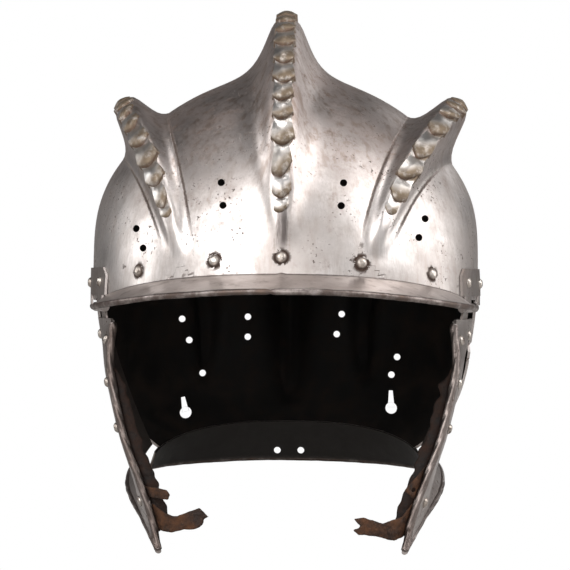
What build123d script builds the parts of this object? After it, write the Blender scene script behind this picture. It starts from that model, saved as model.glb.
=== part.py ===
"""Three-combed burgonet: a one-piece steel skull with a peak, three roped combs
and a nape flange, and two hinged cheekpieces with their leather remains.

The front of the helmet faces -Y, +Z is up and the wearer's left side is +X.
The origin is the centre of the head opening, level with the brow.
"""

import math
import os

from build123d import *

os.makedirs("parts", exist_ok=True)

# Driving dimensions of the skull, in millimetres and degrees
skull_half_width = 105.5
crown_rise = 133.0
front_reach = 118.5
back_reach = 113.0
neck_drop = 96.0
pole_back = 5.0
pole_drop = 22.0
pole_hole_radius = 10.0
wall = 1.5
profile_squareness = 2.11
level_squareness = 2.28
crown_squareness = 2.47
neck_squareness = 2.8
side_fullness = 0.042
fullest_lean = 56.3
fullness_spread = 14.0

# The combs
middle_comb_height = 43.4
middle_comb_width = 11.6
middle_comb_flare = 2.37
middle_comb_start = 19.0
middle_comb_end = 207.0
left_comb_height = 30.0
right_comb_height = 26.2
side_comb_width = 9.25
side_comb_flare = 4.04
side_comb_start = 19.0
side_comb_end = 201.0
left_comb_spread = 38.0
left_comb_gather = 16.8
right_comb_spread = 36.5
right_comb_gather = 11.8
comb_crest_solid = 3.8
rope_pitch = 17.0
rope_depth = 2.6
rope_side_drop = 1.7
rope_reach = 7.5
rope_least_comb = 5.0
rope_run_share = 0.94
crest_step = 0.5
middle_step_shares = (0, 0.33, 0.66, 1.0, 1.45, 2.0)
side_step_shares = (0.45, 0.9, 1.35, 1.9)
side_wall_steps = 5
front_angles = (3, 10, 15, 19, 23, 29, 38, 51)
section_angles = front_angles + (67, 85, 103, 121, 139, 157, 173, 186, 195, 201, 207, 220, 233, 246)
comb_rise_power = 1.15
comb_end_width_share = 0.455
comb_hollow_narrowing = 1.2

# The lower edge of the skull, in side view
brow_front_height = 4.5
brow_side_height = -7.0
brow_front_y = -112.5
brow_side_y = -56.0
temple_back_y = 14.0
temple_back_height = -9.0
ear_cut_y = 33.0
ear_cut_height = -32.0
nape_side_y = 52.0
nape_side_height = -93.0
nape_middle_y = 97.0
nape_middle_height = -80.0

# The peak and the nape flange
peak_reach = 36.0
peak_half_width = 95.5
peak_side_y = -59.0
peak_middle_height = -3.3
peak_side_height = -11.0
peak_roll_radius = 1.9
peak_side_curve = 1.15
peak_side_power = 2.2
peak_stations = 15
nape_stations = 13
brim_root_share = 0.55
brim_last_share = 0.995
nape_half_width = 78.5
nape_root_half_width = 75.2
nape_back_y = 115.0
nape_end_y = 50.0
nape_edge_height = -101.8
nape_side_drop = 2.6
nape_roll_radius = 1.5

# Holes and rivets of the skull
lace_hole_radius = 1.9
front_lace_places = [(31.7, 53.0), (30.5, 41.0), (-31.7, 53.0), (-30.5, 41.0)]
side_lace_places = [(-77.0, 29.3), (-72.8, 19.0), (74.4, 35.0), (71.0, 25.0)]
back_lace_places = [
    (-24.7, -18.8),
    (-24.7, -30.6),
    (30.6, -17.0),
    (27.7, -28.8),
    (-62.6, -20.0),
    (-58.5, -32.4),
    (-50.7, -51.7),
    (63.0, -41.7),
    (59.7, -52.0),
]
nape_hole_spacing = 13.8
nape_hole_height = -97.0
nape_hole_radius = 2.0
keyhole_x = 59.5
keyhole_height = -72.5
keyhole_radius = 3.3
keyhole_neck = 12.5
keyhole_neck_width = 2.4
keyhole_lean = 10.0
brow_rivet_places = [(-75.0, 7.0), (-34.5, 12.4), (0.0, 14.2), (41.0, 11.5), (78.0, 6.0)]
brow_head_radius = 3.1
brow_head_height = 1.7
shank_radius = 1.3
shank_clearance = 0.1
washer_radius = 4.0
washer_thickness = 0.8
seat_gap = 0.05
washer_gap = 0.5
tail_radius = 1.9
tail_height = 0.7
head_shoulder_share = 0.74
head_shoulder_height_share = 0.72
tail_shoulder_share = 0.7
tail_shoulder_height_share = 0.8

# Hinges
hinge_x = 98.9
hinge_y = -36.0
hinge_z = -12.0
hinge_yaw = 12.0
hinge_length = 38.0
knuckle_radius = 2.5
hinge_pin_radius = 1.2
pin_clearance = 0.05
pin_head_radius = 2.0
pin_head_length = 1.0
knuckle_gap = 0.3
middle_knuckle_length = 16.0
leaf_thickness = 1.2
leaf_clearance = 0.25
leaf_front_y = -58.5
leaf_back_y = -11.0
leaf_top = 9.0
leaf_foot = -5.6
leaf_corner = 4.0
leaf_root_wall = 0.15
leaf_angles = (3, 10, 15, 19, 23, 29, 38, 51)
leaf_leans = (44, 49, 54, 59, 64, 69, 74, 79, 82)
lower_leaf_levels = (0.0, 0.42)
lower_leaf_shares = (0.0, 0.85)
leaf_rivet_places = [(-50.0, 1.5), (-21.0, 1.0)]
leaf_head_radius = 2.8
leaf_head_height = 1.5
lower_leaf_half_width = 21.0
lower_leaf_bottom = -34.0
lower_leaf_shoulder = -19.0
lower_leaf_rivet_shares = (0.115, 0.44)
lower_leaf_rivet_level = 0.2

# Cheekpieces, given for the wearer's left side at +X
cheek_wall = 1.5
cheek_levels = 6
cheek_top = -18.0
cheek_front_points = [
    (93.8, -58.5, -6.0),
    (84.5, -66.0, -48.0),
    (76.0, -72.0, -80.0),
    (66.0, -79.0, -124.0),
]
cheek_middle_points = [
    (102.6, -22.0, -6.0),
    (96.0, -18.0, -46.0),
    (89.5, -14.0, -72.0),
    (81.5, -12.0, -105.0),
]
cheek_back_points = [
    (104.0, 16.0, -6.0),
    (95.0, 24.0, -41.0),
    (87.0, 34.0, -66.0),
    (77.0, 40.0, -90.0),
]
cheek_edge_points = [
    (62.8, -84.5, -138.5),
    (66.2, -75.0, -133.0),
    (73.0, -56.0, -124.0),
    (81.5, -32.0, -115.5),
    (86.0, -2.0, -107.0),
    (82.0, 40.0, -98.0),
]
cheek_roll_radius = 1.7
cheek_roll_start = 0.12
cheek_roll_drop_shares = (0.5, 0.97)
cheek_flange_stations = 11
cheek_head_radius = 2.8
cheek_head_height = 1.5
lining_rivet_levels = (0.4, 0.61)
lining_rivet_share = 0.106
strap_rivet_level = 0.95
strap_rivet_share = 0.12

# Leather remains
leather = 2.0
leather_clearance = 0.3
strip_levels = (0.3, 0.74)
strip_shares = (0.045, 0.17)
strap_clearance = 0.6
strap_rivet_slack = 0.8
strap_root_share = 0.15
strap_lift_share = 0.07
strap_path = [(57.5, -83.0), (48.0, -86.2), (36.0, -88.0)]
strap_ends_reach = 24.0
left_strap_outline = [
    (76.0, -113.0),
    (64.5, -114.0),
    (60.1, -120.8),
    (51.5, -123.8),
    (42.4, -120.4),
    (37.7, -121.3),
    (41.6, -125.4),
    (37.5, -126.9),
    (40.3, -129.5),
    (47.2, -130.3),
    (57.1, -133.0),
    (64.0, -130.5),
    (76.0, -127.5),
]
right_strap_outline = [
    (76.0, -113.0),
    (64.5, -115.0),
    (58.4, -118.9),
    (54.0, -120.7),
    (48.0, -118.5),
    (42.8, -116.3),
    (37.5, -120.5),
    (40.2, -121.8),
    (40.6, -124.5),
    (45.2, -127.1),
    (50.0, -127.5),
    (55.6, -129.1),
    (76.0, -127.5),
]
tab_level = 0.8
tab_path = [(63.0, -80.5), (57.5, -83.5)]
tab_outline = [(78.0, -92.5), (69.5, -93.5), (60.3, -106.8), (64.9, -111.6), (72.0, -104.5), (78.0, -102.0)]
tab_hole = (64.3, -106.9)
tab_hole_radius = 1.1
stub_level = 0.86
stub_path = [(61.5, -81.5), (54.5, -84.5)]
stub_outline = [(76.0, -104.5), (57.0, -106.8), (55.9, -109.5), (56.6, -112.2), (76.0, -111.0)]

overrun = 6.0
far = 260.0
search_steps = 40
share_step = 0.02


# Shape of the skull: sections fan out round a pole line that runs from side to side
def profile_radius(angle):
    """Distance from the pole line to the outer face in the middle plane."""
    forward = math.cos(math.radians(angle))
    upward = math.sin(math.radians(angle))
    level = front_reach if forward > 0 else back_reach
    plumb = crown_rise if upward > 0 else neck_drop
    m = profile_squareness
    return ((abs(forward) / level) ** m + (abs(upward) / plumb) ** m) ** (-1 / m)


def squareness(angle):
    upward = math.sin(math.radians(angle))
    plumb = crown_squareness if upward > 0 else neck_squareness
    return level_squareness + (plumb - level_squareness) * upward ** 2


def fullness(angle, lean):
    """Share by which the dome swells below the side combs."""
    upward = max(math.sin(math.radians(angle)), 0)
    off = (abs(math.degrees(lean)) - fullest_lean) / fullness_spread
    return 1 + side_fullness * upward ** 2 * math.exp(-off ** 2)


def dome_radius(angle, lean):
    """Radius of the plain dome in the section at angle, at a lean from its middle."""
    n = squareness(angle)
    across = abs(math.sin(lean)) / skull_half_width
    along = abs(math.cos(lean)) / profile_radius(angle)
    return fullness(angle, lean) * (across ** n + along ** n) ** (-1 / n)


def comb_rise(angle, height, start, end):
    share = (angle - start) / (end - start)
    if share <= 0 or share >= 1:
        return 0.0
    return height * (4 * share * (1 - share)) ** comb_rise_power


def middle_comb_lean(angle):
    return 0.0


def left_comb_lean(angle):
    level = math.cos(math.radians(angle)) ** 2
    return math.radians(left_comb_spread - left_comb_gather * level)


def right_comb_lean(angle):
    level = math.cos(math.radians(angle)) ** 2
    return -math.radians(right_comb_spread - right_comb_gather * level)


middle_comb = (middle_comb_lean, middle_comb_height, middle_comb_start, middle_comb_end)
left_comb = (left_comb_lean, left_comb_height, side_comb_start, side_comb_end)
right_comb = (right_comb_lean, right_comb_height, side_comb_start, side_comb_end)


def ridge(offset, rise, full_rise, width, flare):
    """Height of a comb at an offset from its crest line."""
    narrow = width * (comb_end_width_share + (1 - comb_end_width_share) * rise / full_rise)
    return rise / (1 + (abs(offset) / narrow) ** flare)


def comb_height(angle, lean, hollow):
    """Height of all three combs over the dome, outside or, hollow, inside."""
    radius = dome_radius(angle, lean)
    total = 0.0
    combs = [
        (middle_comb, middle_comb_width, middle_comb_flare),
        (left_comb, side_comb_width, side_comb_flare),
        (right_comb, side_comb_width, side_comb_flare),
    ]
    for (lean_of, height, start, end), width, flare in combs:
        rise = comb_rise(angle, height, start, end)
        if rise > 0:
            if hollow:
                rise = rise * rise / (rise + comb_crest_solid)
                width = width - comb_hollow_narrowing
            offset = radius * (lean - lean_of(angle))
            total += ridge(offset, rise, height, width, flare)
    return total


def skull_point(angle, lean, depth=0.0, hollow=False, combs=True):
    """A point of the skull, depth below its outer face."""
    radius = dome_radius(angle, lean) - depth
    if combs:
        radius += comb_height(angle, lean, hollow)
    reach = radius * math.cos(lean)
    y = pole_back - reach * math.cos(math.radians(angle))
    z = -pole_drop + reach * math.sin(math.radians(angle))
    return Vector(radius * math.sin(lean), y, z)


def dome_level(x, y, z):
    """Below one inside the plain dome, over one outside it."""
    forward = pole_back - y
    upward = z + pole_drop
    angle = math.degrees(math.atan2(upward, forward))
    n = squareness(angle)
    distance = math.hypot(forward, upward)
    level = (abs(x) / skull_half_width) ** n + (distance / profile_radius(angle)) ** n
    return level / fullness(angle, math.atan2(x, distance)) ** n


def wall_y(x, height, rear):
    """The y of the outer face at x, where height gives z for a y."""
    near, away = pole_back, far if rear else -far
    for _ in range(search_steps):
        middle = (near + away) / 2
        if dome_level(x, middle, height(middle)) < 1:
            near = middle
        else:
            away = middle
    return near


def face_plane(x, y, z):
    """Plane on the outer face, its Z pointing out of the wall."""
    step = wall / 10
    slope = Vector(
        dome_level(x + step, y, z) - dome_level(x - step, y, z),
        dome_level(x, y + step, z) - dome_level(x, y - step, z),
        dome_level(x, y, z + step) - dome_level(x, y, z - step),
    )
    return Plane(origin=(x, y, z), x_dir=Vector(0, 0, 1).cross(slope), z_dir=slope)


def placed_plane(place):
    x, z = place
    return face_plane(x, wall_y(x, lambda y: z, False), z)


def level_plane(place, rear):
    """Plane on the outer face for a hole that runs level, straight to the back."""
    x, z = place
    y = wall_y(x, lambda y: z, rear)
    return Plane(origin=(x, y, z), x_dir=(1, 0, 0), z_dir=(0, 1, 0))


def section_plane(angle):
    turn = math.radians(angle)
    return Plane(
        origin=(0, pole_back, -pole_drop),
        x_dir=(1, 0, 0),
        z_dir=(0, -math.sin(turn), -math.cos(turn)),
    )


def half_leans(angle, crest):
    """Leans from the middle to one side, close together over the combs."""
    edge = math.atan(skull_half_width / pole_hole_radius)
    radius = dome_radius(angle, crest)
    half = [share * middle_comb_width / radius for share in middle_step_shares]
    side_steps = [share * side_comb_width / radius for share in side_step_shares]
    half += [crest - step for step in reversed(side_steps)]
    half += [crest]
    half += [crest + step for step in side_steps]
    gap = (edge - half[-1]) / side_wall_steps
    return half + [half[-1] + gap * (count + 1) for count in range(side_wall_steps)]


def section_leans(angle):
    """Leans of the section's control points, from the right edge to the left."""
    right_half = half_leans(angle, -right_comb_lean(angle))
    left_half = half_leans(angle, left_comb_lean(angle))
    return [-lean for lean in reversed(right_half[1:])] + left_half


def smooth_edge(points):
    """Even cubic curve, clamped at its ends, that runs close by its points."""
    spots = [Vector(*point) for point in points]
    poles = [spots[0]]
    for before, here, after in zip(spots, spots[1:], spots[2:]):
        poles.append((here * 8 - before - after) / 6)
    poles.append(spots[-1])
    spans = len(poles) - 3
    knots = [0.0] * 3 + [count / spans for count in range(spans + 1)] + [1.0] * 3
    return BSpline([(pole.X, pole.Y) for pole in poles], knots, 3)


def band_section(angle, leans, outer, inner):
    """One closed section of the wall between two depths, on its own plane."""
    plane = section_plane(angle)
    with BuildSketch(plane) as band:
        with BuildLine():
            top = [plane.to_local_coords(outer(angle, lean)) for lean in leans]
            under = [plane.to_local_coords(inner(angle, lean)) for lean in leans]
            outside = smooth_edge([(p.X, p.Y) for p in top])
            inside = smooth_edge([(p.X, p.Y) for p in under])
            Line(outside @ 0, inside @ 0)
            Line(outside @ 1, inside @ 1)
        make_face()
    return band.sketch


def turned_section(root, tip, tangent, thickness, roll_radius):
    """Section of a thin brim that ends in a roll."""
    span = tip - root
    along = span.normalized()
    course = (tangent - along * tangent.dot(along)).normalized()
    reach = span.length
    half = thickness / 2
    neck = reach - math.sqrt(roll_radius ** 2 - half ** 2)
    with BuildSketch(Plane(origin=root, x_dir=along, z_dir=course)) as section:
        with BuildLine():
            Line((0, half), (0, -half))
            Line((0, -half), (neck, -half))
            ThreePointArc((neck, -half), (reach + roll_radius, 0), (neck, half))
            Line((neck, half), (0, half))
        make_face()
    return section.sketch


def turned_brim(roots, tips, thickness, roll_radius):
    """Loft a brim with a rolled edge through pairs of root and tip points."""
    count = len(roots)
    sections = []
    for place in range(count):
        before = max(place - 1, 0)
        after = min(place + 1, count - 1)
        tangent = (tips[after] - tips[before]) + (roots[after] - roots[before])
        sections.append(turned_section(roots[place], tips[place], tangent, thickness, roll_radius))
    with BuildPart() as brim:
        loft(sections)
    return brim.part


# Lower edge lines of the skull, as heights over y
def brow_height(y):
    share = (y - brow_front_y) / (brow_side_y - brow_front_y)
    return brow_front_height + (brow_side_height - brow_front_height) * share


def nape_height(y):
    share = (y - nape_side_y) / (nape_middle_y - nape_side_y)
    return nape_side_height + (nape_middle_height - nape_side_height) * share


def peak_points():
    """Roots in the brow wall and tips on the rolled rim of the peak."""
    roots, tips = [], []
    last = math.asin(brim_last_share)
    for count in range(peak_stations):
        turn = last * (2 * count / (peak_stations - 1) - 1)
        x = (peak_half_width - peak_roll_radius) * math.sin(turn)
        y = wall_y(x, brow_height, False)
        outward = Vector(x, y - pole_back, 0).normalized()
        inset = wall * brim_root_share
        roots.append(Vector(x, y, brow_height(y) + inset) - outward * inset)
        share = math.cos(turn) ** peak_side_curve
        side = abs(math.sin(turn)) ** peak_side_power
        tip_y = peak_side_y + (brow_front_y - peak_reach - peak_side_y) * share
        tip_z = peak_middle_height + (peak_side_height - peak_middle_height) * side
        tips.append(Vector(peak_half_width * math.sin(turn), tip_y, tip_z))
    return roots, tips


def nape_points():
    """Roots in the neck wall and tips on the edge of the nape flange."""
    roots, tips = [], []
    last = math.asin(brim_last_share)
    for count in range(nape_stations):
        turn = last * (2 * count / (nape_stations - 1) - 1)
        x = nape_root_half_width * math.sin(turn)
        y = wall_y(x, nape_height, True)
        outward = Vector(x, y - pole_back, 0).normalized()
        inset = wall * brim_root_share
        roots.append(Vector(x, y, nape_height(y) + inset) - outward * inset)
        tip_y = nape_end_y + (nape_back_y - nape_end_y) * math.cos(turn)
        tip_z = nape_edge_height - nape_side_drop * math.sin(turn) ** 2
        tips.append(Vector(nape_half_width * math.sin(turn), tip_y, tip_z))
    return roots, tips


def crest_frame(angle, lean_of):
    """Point on a crest, with its outward and forward directions."""
    point = skull_point(angle, lean_of(angle))
    ahead = skull_point(angle - crest_step, lean_of(angle - crest_step))
    behind = skull_point(angle + crest_step, lean_of(angle + crest_step))
    forward = (ahead - behind).normalized()
    pole = Vector(0, pole_back, -pole_drop)
    outward = point - pole
    outward = (outward - forward * outward.dot(forward)).normalized()
    return point, outward, forward


def rope_angles(height, start, end, lean_of):
    """Angles of the rope steps, one pitch apart along the crest."""
    angles = []
    travelled = 0.0
    angle = start
    before = skull_point(angle, lean_of(angle))
    while angle < end:
        angle += crest_step
        here = skull_point(angle, lean_of(angle))
        if comb_rise(angle, height, start, end) > rope_least_comb:
            travelled += (here - before).length
            if travelled >= rope_pitch:
                angles.append(angle)
                travelled -= rope_pitch
        before = here
    return angles


def rope_cut(point, outward, forward, depth, reach):
    """A roofed wedge: a sharp step at its back, running out forward to nothing."""
    across = outward.cross(forward)
    ends = []
    for place, deep in ((0.0, depth), (rope_pitch * rope_run_share, 0.0)):
        plane = Plane(origin=point + forward * place, x_dir=across, z_dir=forward)
        up = 1 if plane.y_dir.dot(outward) > 0 else -1
        with BuildSketch(plane) as end:
            with BuildLine():
                Polyline(
                    (-reach, up * (-deep - rope_side_drop)),
                    (0, up * -deep),
                    (reach, up * (-deep - rope_side_drop)),
                    (reach, up * overrun),
                    (-reach, up * overrun),
                    close=True,
                )
            make_face()
        ends.append(end.sketch)
    with BuildPart() as wedge:
        loft(ends, ruled=True)
    return wedge.part


def skull_shell():
    """The raised plate with its three hollow combs, before its edge is cut."""
    sections = [
        band_section(
            angle,
            section_leans(angle),
            lambda a, lean: skull_point(a, lean),
            lambda a, lean: skull_point(a, lean, wall, True),
        )
        for angle in section_angles
    ]
    with BuildPart() as shell:
        loft(sections)
    return shell.part


def below_edge():
    """Everything below the skull's lower edge, as seen from the side."""
    with BuildPart() as space:
        with BuildSketch(Plane.YZ):
            with BuildLine():
                front = (-far, brow_height(-far))
                brow = (brow_side_y, brow_side_height)
                temple = (temple_back_y, temple_back_height)
                ear = (ear_cut_y, ear_cut_height)
                nape = (nape_side_y, nape_side_height)
                Polyline(front, brow, temple)
                Spline(temple, ear, nape)
                Polyline(nape, (far, nape_height(far)), (far, -far), (-far, -far), front)
            make_face()
        extrude(amount=far, both=True)
    return space.part


def rope_cuts():
    """Wedges that leave the roped steps along the three crests."""
    cuts = []
    for lean_of, height, start, end in (middle_comb, left_comb, right_comb):
        for angle in rope_angles(height, start, end, lean_of):
            point, outward, forward = crest_frame(angle, lean_of)
            cuts.append(rope_cut(point, outward, forward, rope_depth, rope_reach))
    return cuts


def keyhole_cut(side):
    """Round hole with a narrow neck that leans away from the nape."""
    y = wall_y(keyhole_x, lambda y: keyhole_height, True)
    spot = (side * keyhole_x, y, keyhole_height)
    with BuildPart() as cut:
        with BuildSketch(Plane(origin=spot, x_dir=(1, 0, 0), z_dir=(0, -1, 0))):
            Circle(keyhole_radius)
            with Locations(Location((0, 0), -side * keyhole_lean)):
                Rectangle(keyhole_neck_width, keyhole_neck, align=(Align.CENTER, Align.MIN))
        extrude(amount=2 * overrun, both=True)
    return cut.part


def hole_cut(plane, radius):
    with BuildPart() as cut:
        with BuildSketch(plane.offset(-overrun)):
            Circle(radius)
        extrude(amount=2 * overrun)
    return cut.part


def rivet(plane, head_radius, head_height, grip):
    """Domed head outside, shank through the wall, hammered tail inside."""
    side = Plane(origin=plane.origin, x_dir=plane.x_dir, z_dir=-plane.y_dir)
    with BuildPart() as one:
        with BuildSketch(side):
            with BuildLine():
                top = (0, seat_gap + head_height)
                level = seat_gap + head_height * head_shoulder_height_share
                shoulder = (head_radius * head_shoulder_share, level)
                ThreePointArc(top, shoulder, (head_radius, seat_gap))
                Polyline(
                    (head_radius, seat_gap),
                    (shank_radius, seat_gap),
                    (shank_radius, -grip),
                    (tail_radius, -grip),
                )
                tail = (0, -grip - tail_height)
                bulge = (tail_radius * tail_shoulder_share, -grip - tail_height * tail_shoulder_height_share)
                Spline((tail_radius, -grip), bulge, tail)
                Line(tail, top)
            make_face()
        revolve(axis=Axis(plane.origin, plane.z_dir))
    return one.part


def washer(plane, depth):
    with BuildPart() as ring:
        with BuildSketch(plane.offset(-depth)):
            Circle(washer_radius)
            Circle(shank_radius + shank_clearance, mode=Mode.SUBTRACT)
        extrude(amount=-washer_thickness)
    return ring.part


def layer(sections):
    with BuildPart() as sheet:
        loft(sections)
    return sheet.part


def skull_layer(low, high):
    """A sheet over the temple, low to high above the outer face."""
    leans = [math.radians(lean) for lean in leaf_leans]
    sections = [
        band_section(
            angle,
            leans,
            lambda a, lean: skull_point(a, lean, -high, combs=False),
            lambda a, lean: skull_point(a, lean, -low, combs=False),
        )
        for angle in leaf_angles
    ]
    return layer(sections)


# The hinge line of the wearer's left side; the right side mirrors it
hinge_run = Vector(math.sin(math.radians(hinge_yaw)), math.cos(math.radians(hinge_yaw)), 0)
hinge_middle = Vector(hinge_x, hinge_y, hinge_z)


def hinge_barrel(radius, start, end):
    """A round bar on the hinge line, from start to end along it."""
    begin = hinge_middle + hinge_run * start
    with BuildPart() as bar:
        with BuildSketch(Plane(origin=begin, x_dir=(0, 0, 1), z_dir=hinge_run)):
            Circle(radius)
        extrude(amount=end - start)
    return bar.part


def side_outline(points):
    """A closed outline seen from the side, drawn through the whole width."""
    with BuildPart() as block:
        with BuildSketch(Plane.YZ):
            with BuildLine():
                Polyline(*points, close=True)
            make_face()
        extrude(amount=far)
    return block.part


def upper_leaf():
    half = hinge_length / 2
    middle = middle_knuckle_length / 2
    root = hinge_z + hinge_pin_radius + pin_clearance + leaf_root_wall
    inset = 2 * knuckle_gap
    fore, aft = hinge_y - half + inset, hinge_y + half - inset
    near, away = hinge_y - middle - 3 * inset, hinge_y + middle + 3 * inset
    outline = side_outline(
        [
            (leaf_front_y, leaf_foot),
            (leaf_front_y, leaf_top - leaf_corner),
            (leaf_front_y + leaf_corner, leaf_top),
            (leaf_back_y - leaf_corner, leaf_top),
            (leaf_back_y, leaf_top - leaf_corner),
            (leaf_back_y, leaf_foot),
            (aft, leaf_foot),
            (aft, root),
            (away, root),
            (away, leaf_foot),
            (near, leaf_foot),
            (near, root),
            (fore, root),
            (fore, leaf_foot),
        ]
    )
    inner = middle + knuckle_gap
    bore = hinge_barrel(hinge_pin_radius + pin_clearance, -half - overrun, half + overrun)
    with BuildPart() as leaf:
        add(skull_layer(leaf_clearance, leaf_clearance + leaf_thickness))
        add(outline, mode=Mode.INTERSECT)
        add(hinge_barrel(knuckle_radius, -half, -inner))
        add(hinge_barrel(knuckle_radius, inner, half))
        add(hinge_barrel(knuckle_radius + knuckle_gap, -inner, inner), mode=Mode.SUBTRACT)
        add(bore, mode=Mode.SUBTRACT)
        for place in leaf_rivet_places:
            add(hole_cut(leaf_plane(place), shank_radius + shank_clearance), mode=Mode.SUBTRACT)
    return leaf


def leaf_plane(place):
    """Plane on the outer face of the skull at a y and z of the temple."""
    y, z = place
    near, away = 0.0, far
    for _ in range(search_steps):
        middle = (near + away) / 2
        if dome_level(middle, y, z) < 1:
            near = middle
        else:
            away = middle
    return face_plane(near, y, z)


def hinge_pin():
    half = hinge_length / 2
    with BuildPart() as pin:
        add(hinge_barrel(hinge_pin_radius, -half - 2 * knuckle_gap, half + 2 * knuckle_gap))
        add(hinge_barrel(pin_head_radius, half + knuckle_gap, half + knuckle_gap + pin_head_length))
        add(hinge_barrel(pin_head_radius, -half - knuckle_gap - pin_head_length, -half - knuckle_gap))
    return pin


# Cheekpiece: each section is an arc through a front, a middle and a back point
with BuildLine() as cheek_front_line:
    Spline(*cheek_front_points)
with BuildLine() as cheek_middle_line:
    Spline(*cheek_middle_points)
with BuildLine() as cheek_back_line:
    Spline(*cheek_back_points)


def cheek_arc(level):
    """Plane, centre, radius and end angles of the section at a level."""
    front = cheek_front_line.line @ level
    middle = cheek_middle_line.line @ level
    back = cheek_back_line.line @ level
    chord = back - front
    plane = Plane(origin=front, x_dir=chord, z_dir=chord.cross(middle - front))
    crown = plane.to_local_coords(middle)
    half = chord.length / 2
    # The centre lies on the chord's bisector, as far from the front as from the middle
    rise = (crown.X ** 2 + crown.Y ** 2 - 2 * half * crown.X) / (2 * crown.Y)
    radius = math.hypot(half, rise)
    start = math.atan2(-rise, -half)
    end = math.atan2(-rise, half)
    if start < 0:
        start += 2 * math.pi
    return plane, (half, rise), radius, start, end


def cheek_local(level, share, lift):
    plane, centre, radius, start, end = cheek_arc(level)
    turn = start + (end - start) * share
    reach = radius + lift
    return centre[0] + reach * math.cos(turn), centre[1] + reach * math.sin(turn)


def cheek_point(level, share, lift=0.0):
    """A point of the cheekpiece, lift above its outer face."""
    plane = cheek_arc(level)[0]
    x, y = cheek_local(level, share, lift)
    return plane.from_local_coords(Vector(x, y, 0))


def cheek_plane(level, share):
    along = cheek_point(level, share + share_step) - cheek_point(level, share - share_step)
    down = cheek_point(level + share_step, share) - cheek_point(level - share_step, share)
    outward = down.cross(along)
    if outward.X < 0:
        outward = -outward
    return Plane(origin=cheek_point(level, share), x_dir=along, z_dir=outward)


def cheek_section(level, low, high, first, last):
    plane = cheek_arc(level)[0]
    middle = (first + last) / 2
    with BuildSketch(plane) as band:
        with BuildLine():
            over = [cheek_local(level, share, high) for share in (first, middle, last)]
            under = [cheek_local(level, share, low) for share in (first, middle, last)]
            ThreePointArc(*over)
            ThreePointArc(*under)
            Line(over[0], under[0])
            Line(over[2], under[2])
        make_face()
    return band.sketch


def cheek_layer(low, high, top, bottom, first, last):
    """A sheet that follows the cheekpiece, low to high above its outer face."""
    steps = cheek_levels - 1
    levels = [top + (bottom - top) * count / steps for count in range(cheek_levels)]
    return layer([cheek_section(level, low, high, first, last) for level in levels])


def cheek_front_roll():
    """Rolled front edge, from the top corner down to the tip of the flange."""
    last = cheek_levels + 1
    course = []
    for count in range(last + 1):
        level = cheek_roll_start + (1 - cheek_roll_start) * count / last
        course.append(cheek_point(level, 0, -cheek_wall / 2))
    corner = course[-1]
    drop = Vector(*cheek_edge_points[0]) - corner
    course += [corner + drop * share for share in cheek_roll_drop_shares]
    with BuildPart() as roll:
        with BuildLine() as edge:
            Spline(*course)
        with BuildSketch(Plane(origin=edge.line @ 0, z_dir=edge.line % 0)):
            Circle(cheek_roll_radius)
        sweep(path=edge.line)
    return roll.part


def cheek_flange():
    """Neck flange below the cheekpiece, with its rolled edge."""
    with BuildLine() as edge:
        Spline(*cheek_edge_points)
    roots, tips = [], []
    inset = cheek_wall / 2
    for count in range(cheek_flange_stations):
        share = count / (cheek_flange_stations - 1)
        root = cheek_point(1, share, -inset)
        above = cheek_point(1 - 1 / cheek_levels, share, -inset)
        roots.append(root + (above - root).normalized() * inset)
        tips.append(edge.line @ share)
    return turned_brim(roots, tips, cheek_wall, cheek_roll_radius)


lower_leaf_rivet_planes = [cheek_plane(lower_leaf_rivet_level, share) for share in lower_leaf_rivet_shares]
lining_rivet_planes = [cheek_plane(level, lining_rivet_share) for level in lining_rivet_levels]
strap_rivet_plane = cheek_plane(strap_rivet_level, strap_rivet_share)
shank_hole_radius = shank_radius + shank_clearance


def cheekpiece():
    """Raised cheek plate with its rolled front edge and its flange."""
    with BuildPart() as cheek:
        add(cheek_layer(-cheek_wall, 0, 0, 1, 0, 1))
        below = [(-far, cheek_top), (far, cheek_top), (far, -far), (-far, -far)]
        add(side_outline(below), mode=Mode.INTERSECT)
        add(cheek_front_roll())
        add(cheek_flange())
        for plane in lower_leaf_rivet_planes + lining_rivet_planes + [strap_rivet_plane]:
            add(hole_cut(plane, shank_hole_radius), mode=Mode.SUBTRACT)
    return cheek


def lower_leaf():
    """Inner hinge leaf, riveted behind the top of the cheekpiece."""
    low = -cheek_wall - leaf_clearance - leaf_thickness
    middle = middle_knuckle_length / 2
    root = hinge_z - hinge_pin_radius - pin_clearance - leaf_root_wall
    wide = lower_leaf_half_width
    narrow = middle - 2 * knuckle_gap
    outline = side_outline(
        [
            (hinge_y - narrow, root),
            (hinge_y + narrow, root),
            (hinge_y + narrow, lower_leaf_shoulder),
            (hinge_y + wide, lower_leaf_shoulder),
            (hinge_y + wide, lower_leaf_bottom + leaf_corner),
            (hinge_y + wide - leaf_corner, lower_leaf_bottom),
            (hinge_y - wide + leaf_corner, lower_leaf_bottom),
            (hinge_y - wide, lower_leaf_bottom + leaf_corner),
            (hinge_y - wide, lower_leaf_shoulder),
            (hinge_y - narrow, lower_leaf_shoulder),
        ]
    )
    bore = hinge_barrel(hinge_pin_radius + pin_clearance, -middle - overrun, middle + overrun)
    with BuildPart() as leaf:
        add(cheek_layer(low, low + leaf_thickness, *lower_leaf_levels, *lower_leaf_shares))
        add(outline, mode=Mode.INTERSECT)
        add(hinge_barrel(knuckle_radius, -middle, middle))
        add(bore, mode=Mode.SUBTRACT)
        for plane in lower_leaf_rivet_planes:
            add(hole_cut(plane, shank_hole_radius), mode=Mode.SUBTRACT)
    return leaf


def rivet_group(planes, head_radius, head_height, grip):
    with BuildPart() as group:
        for plane in planes:
            add(rivet(plane, head_radius, head_height, grip))
    return group


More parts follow.
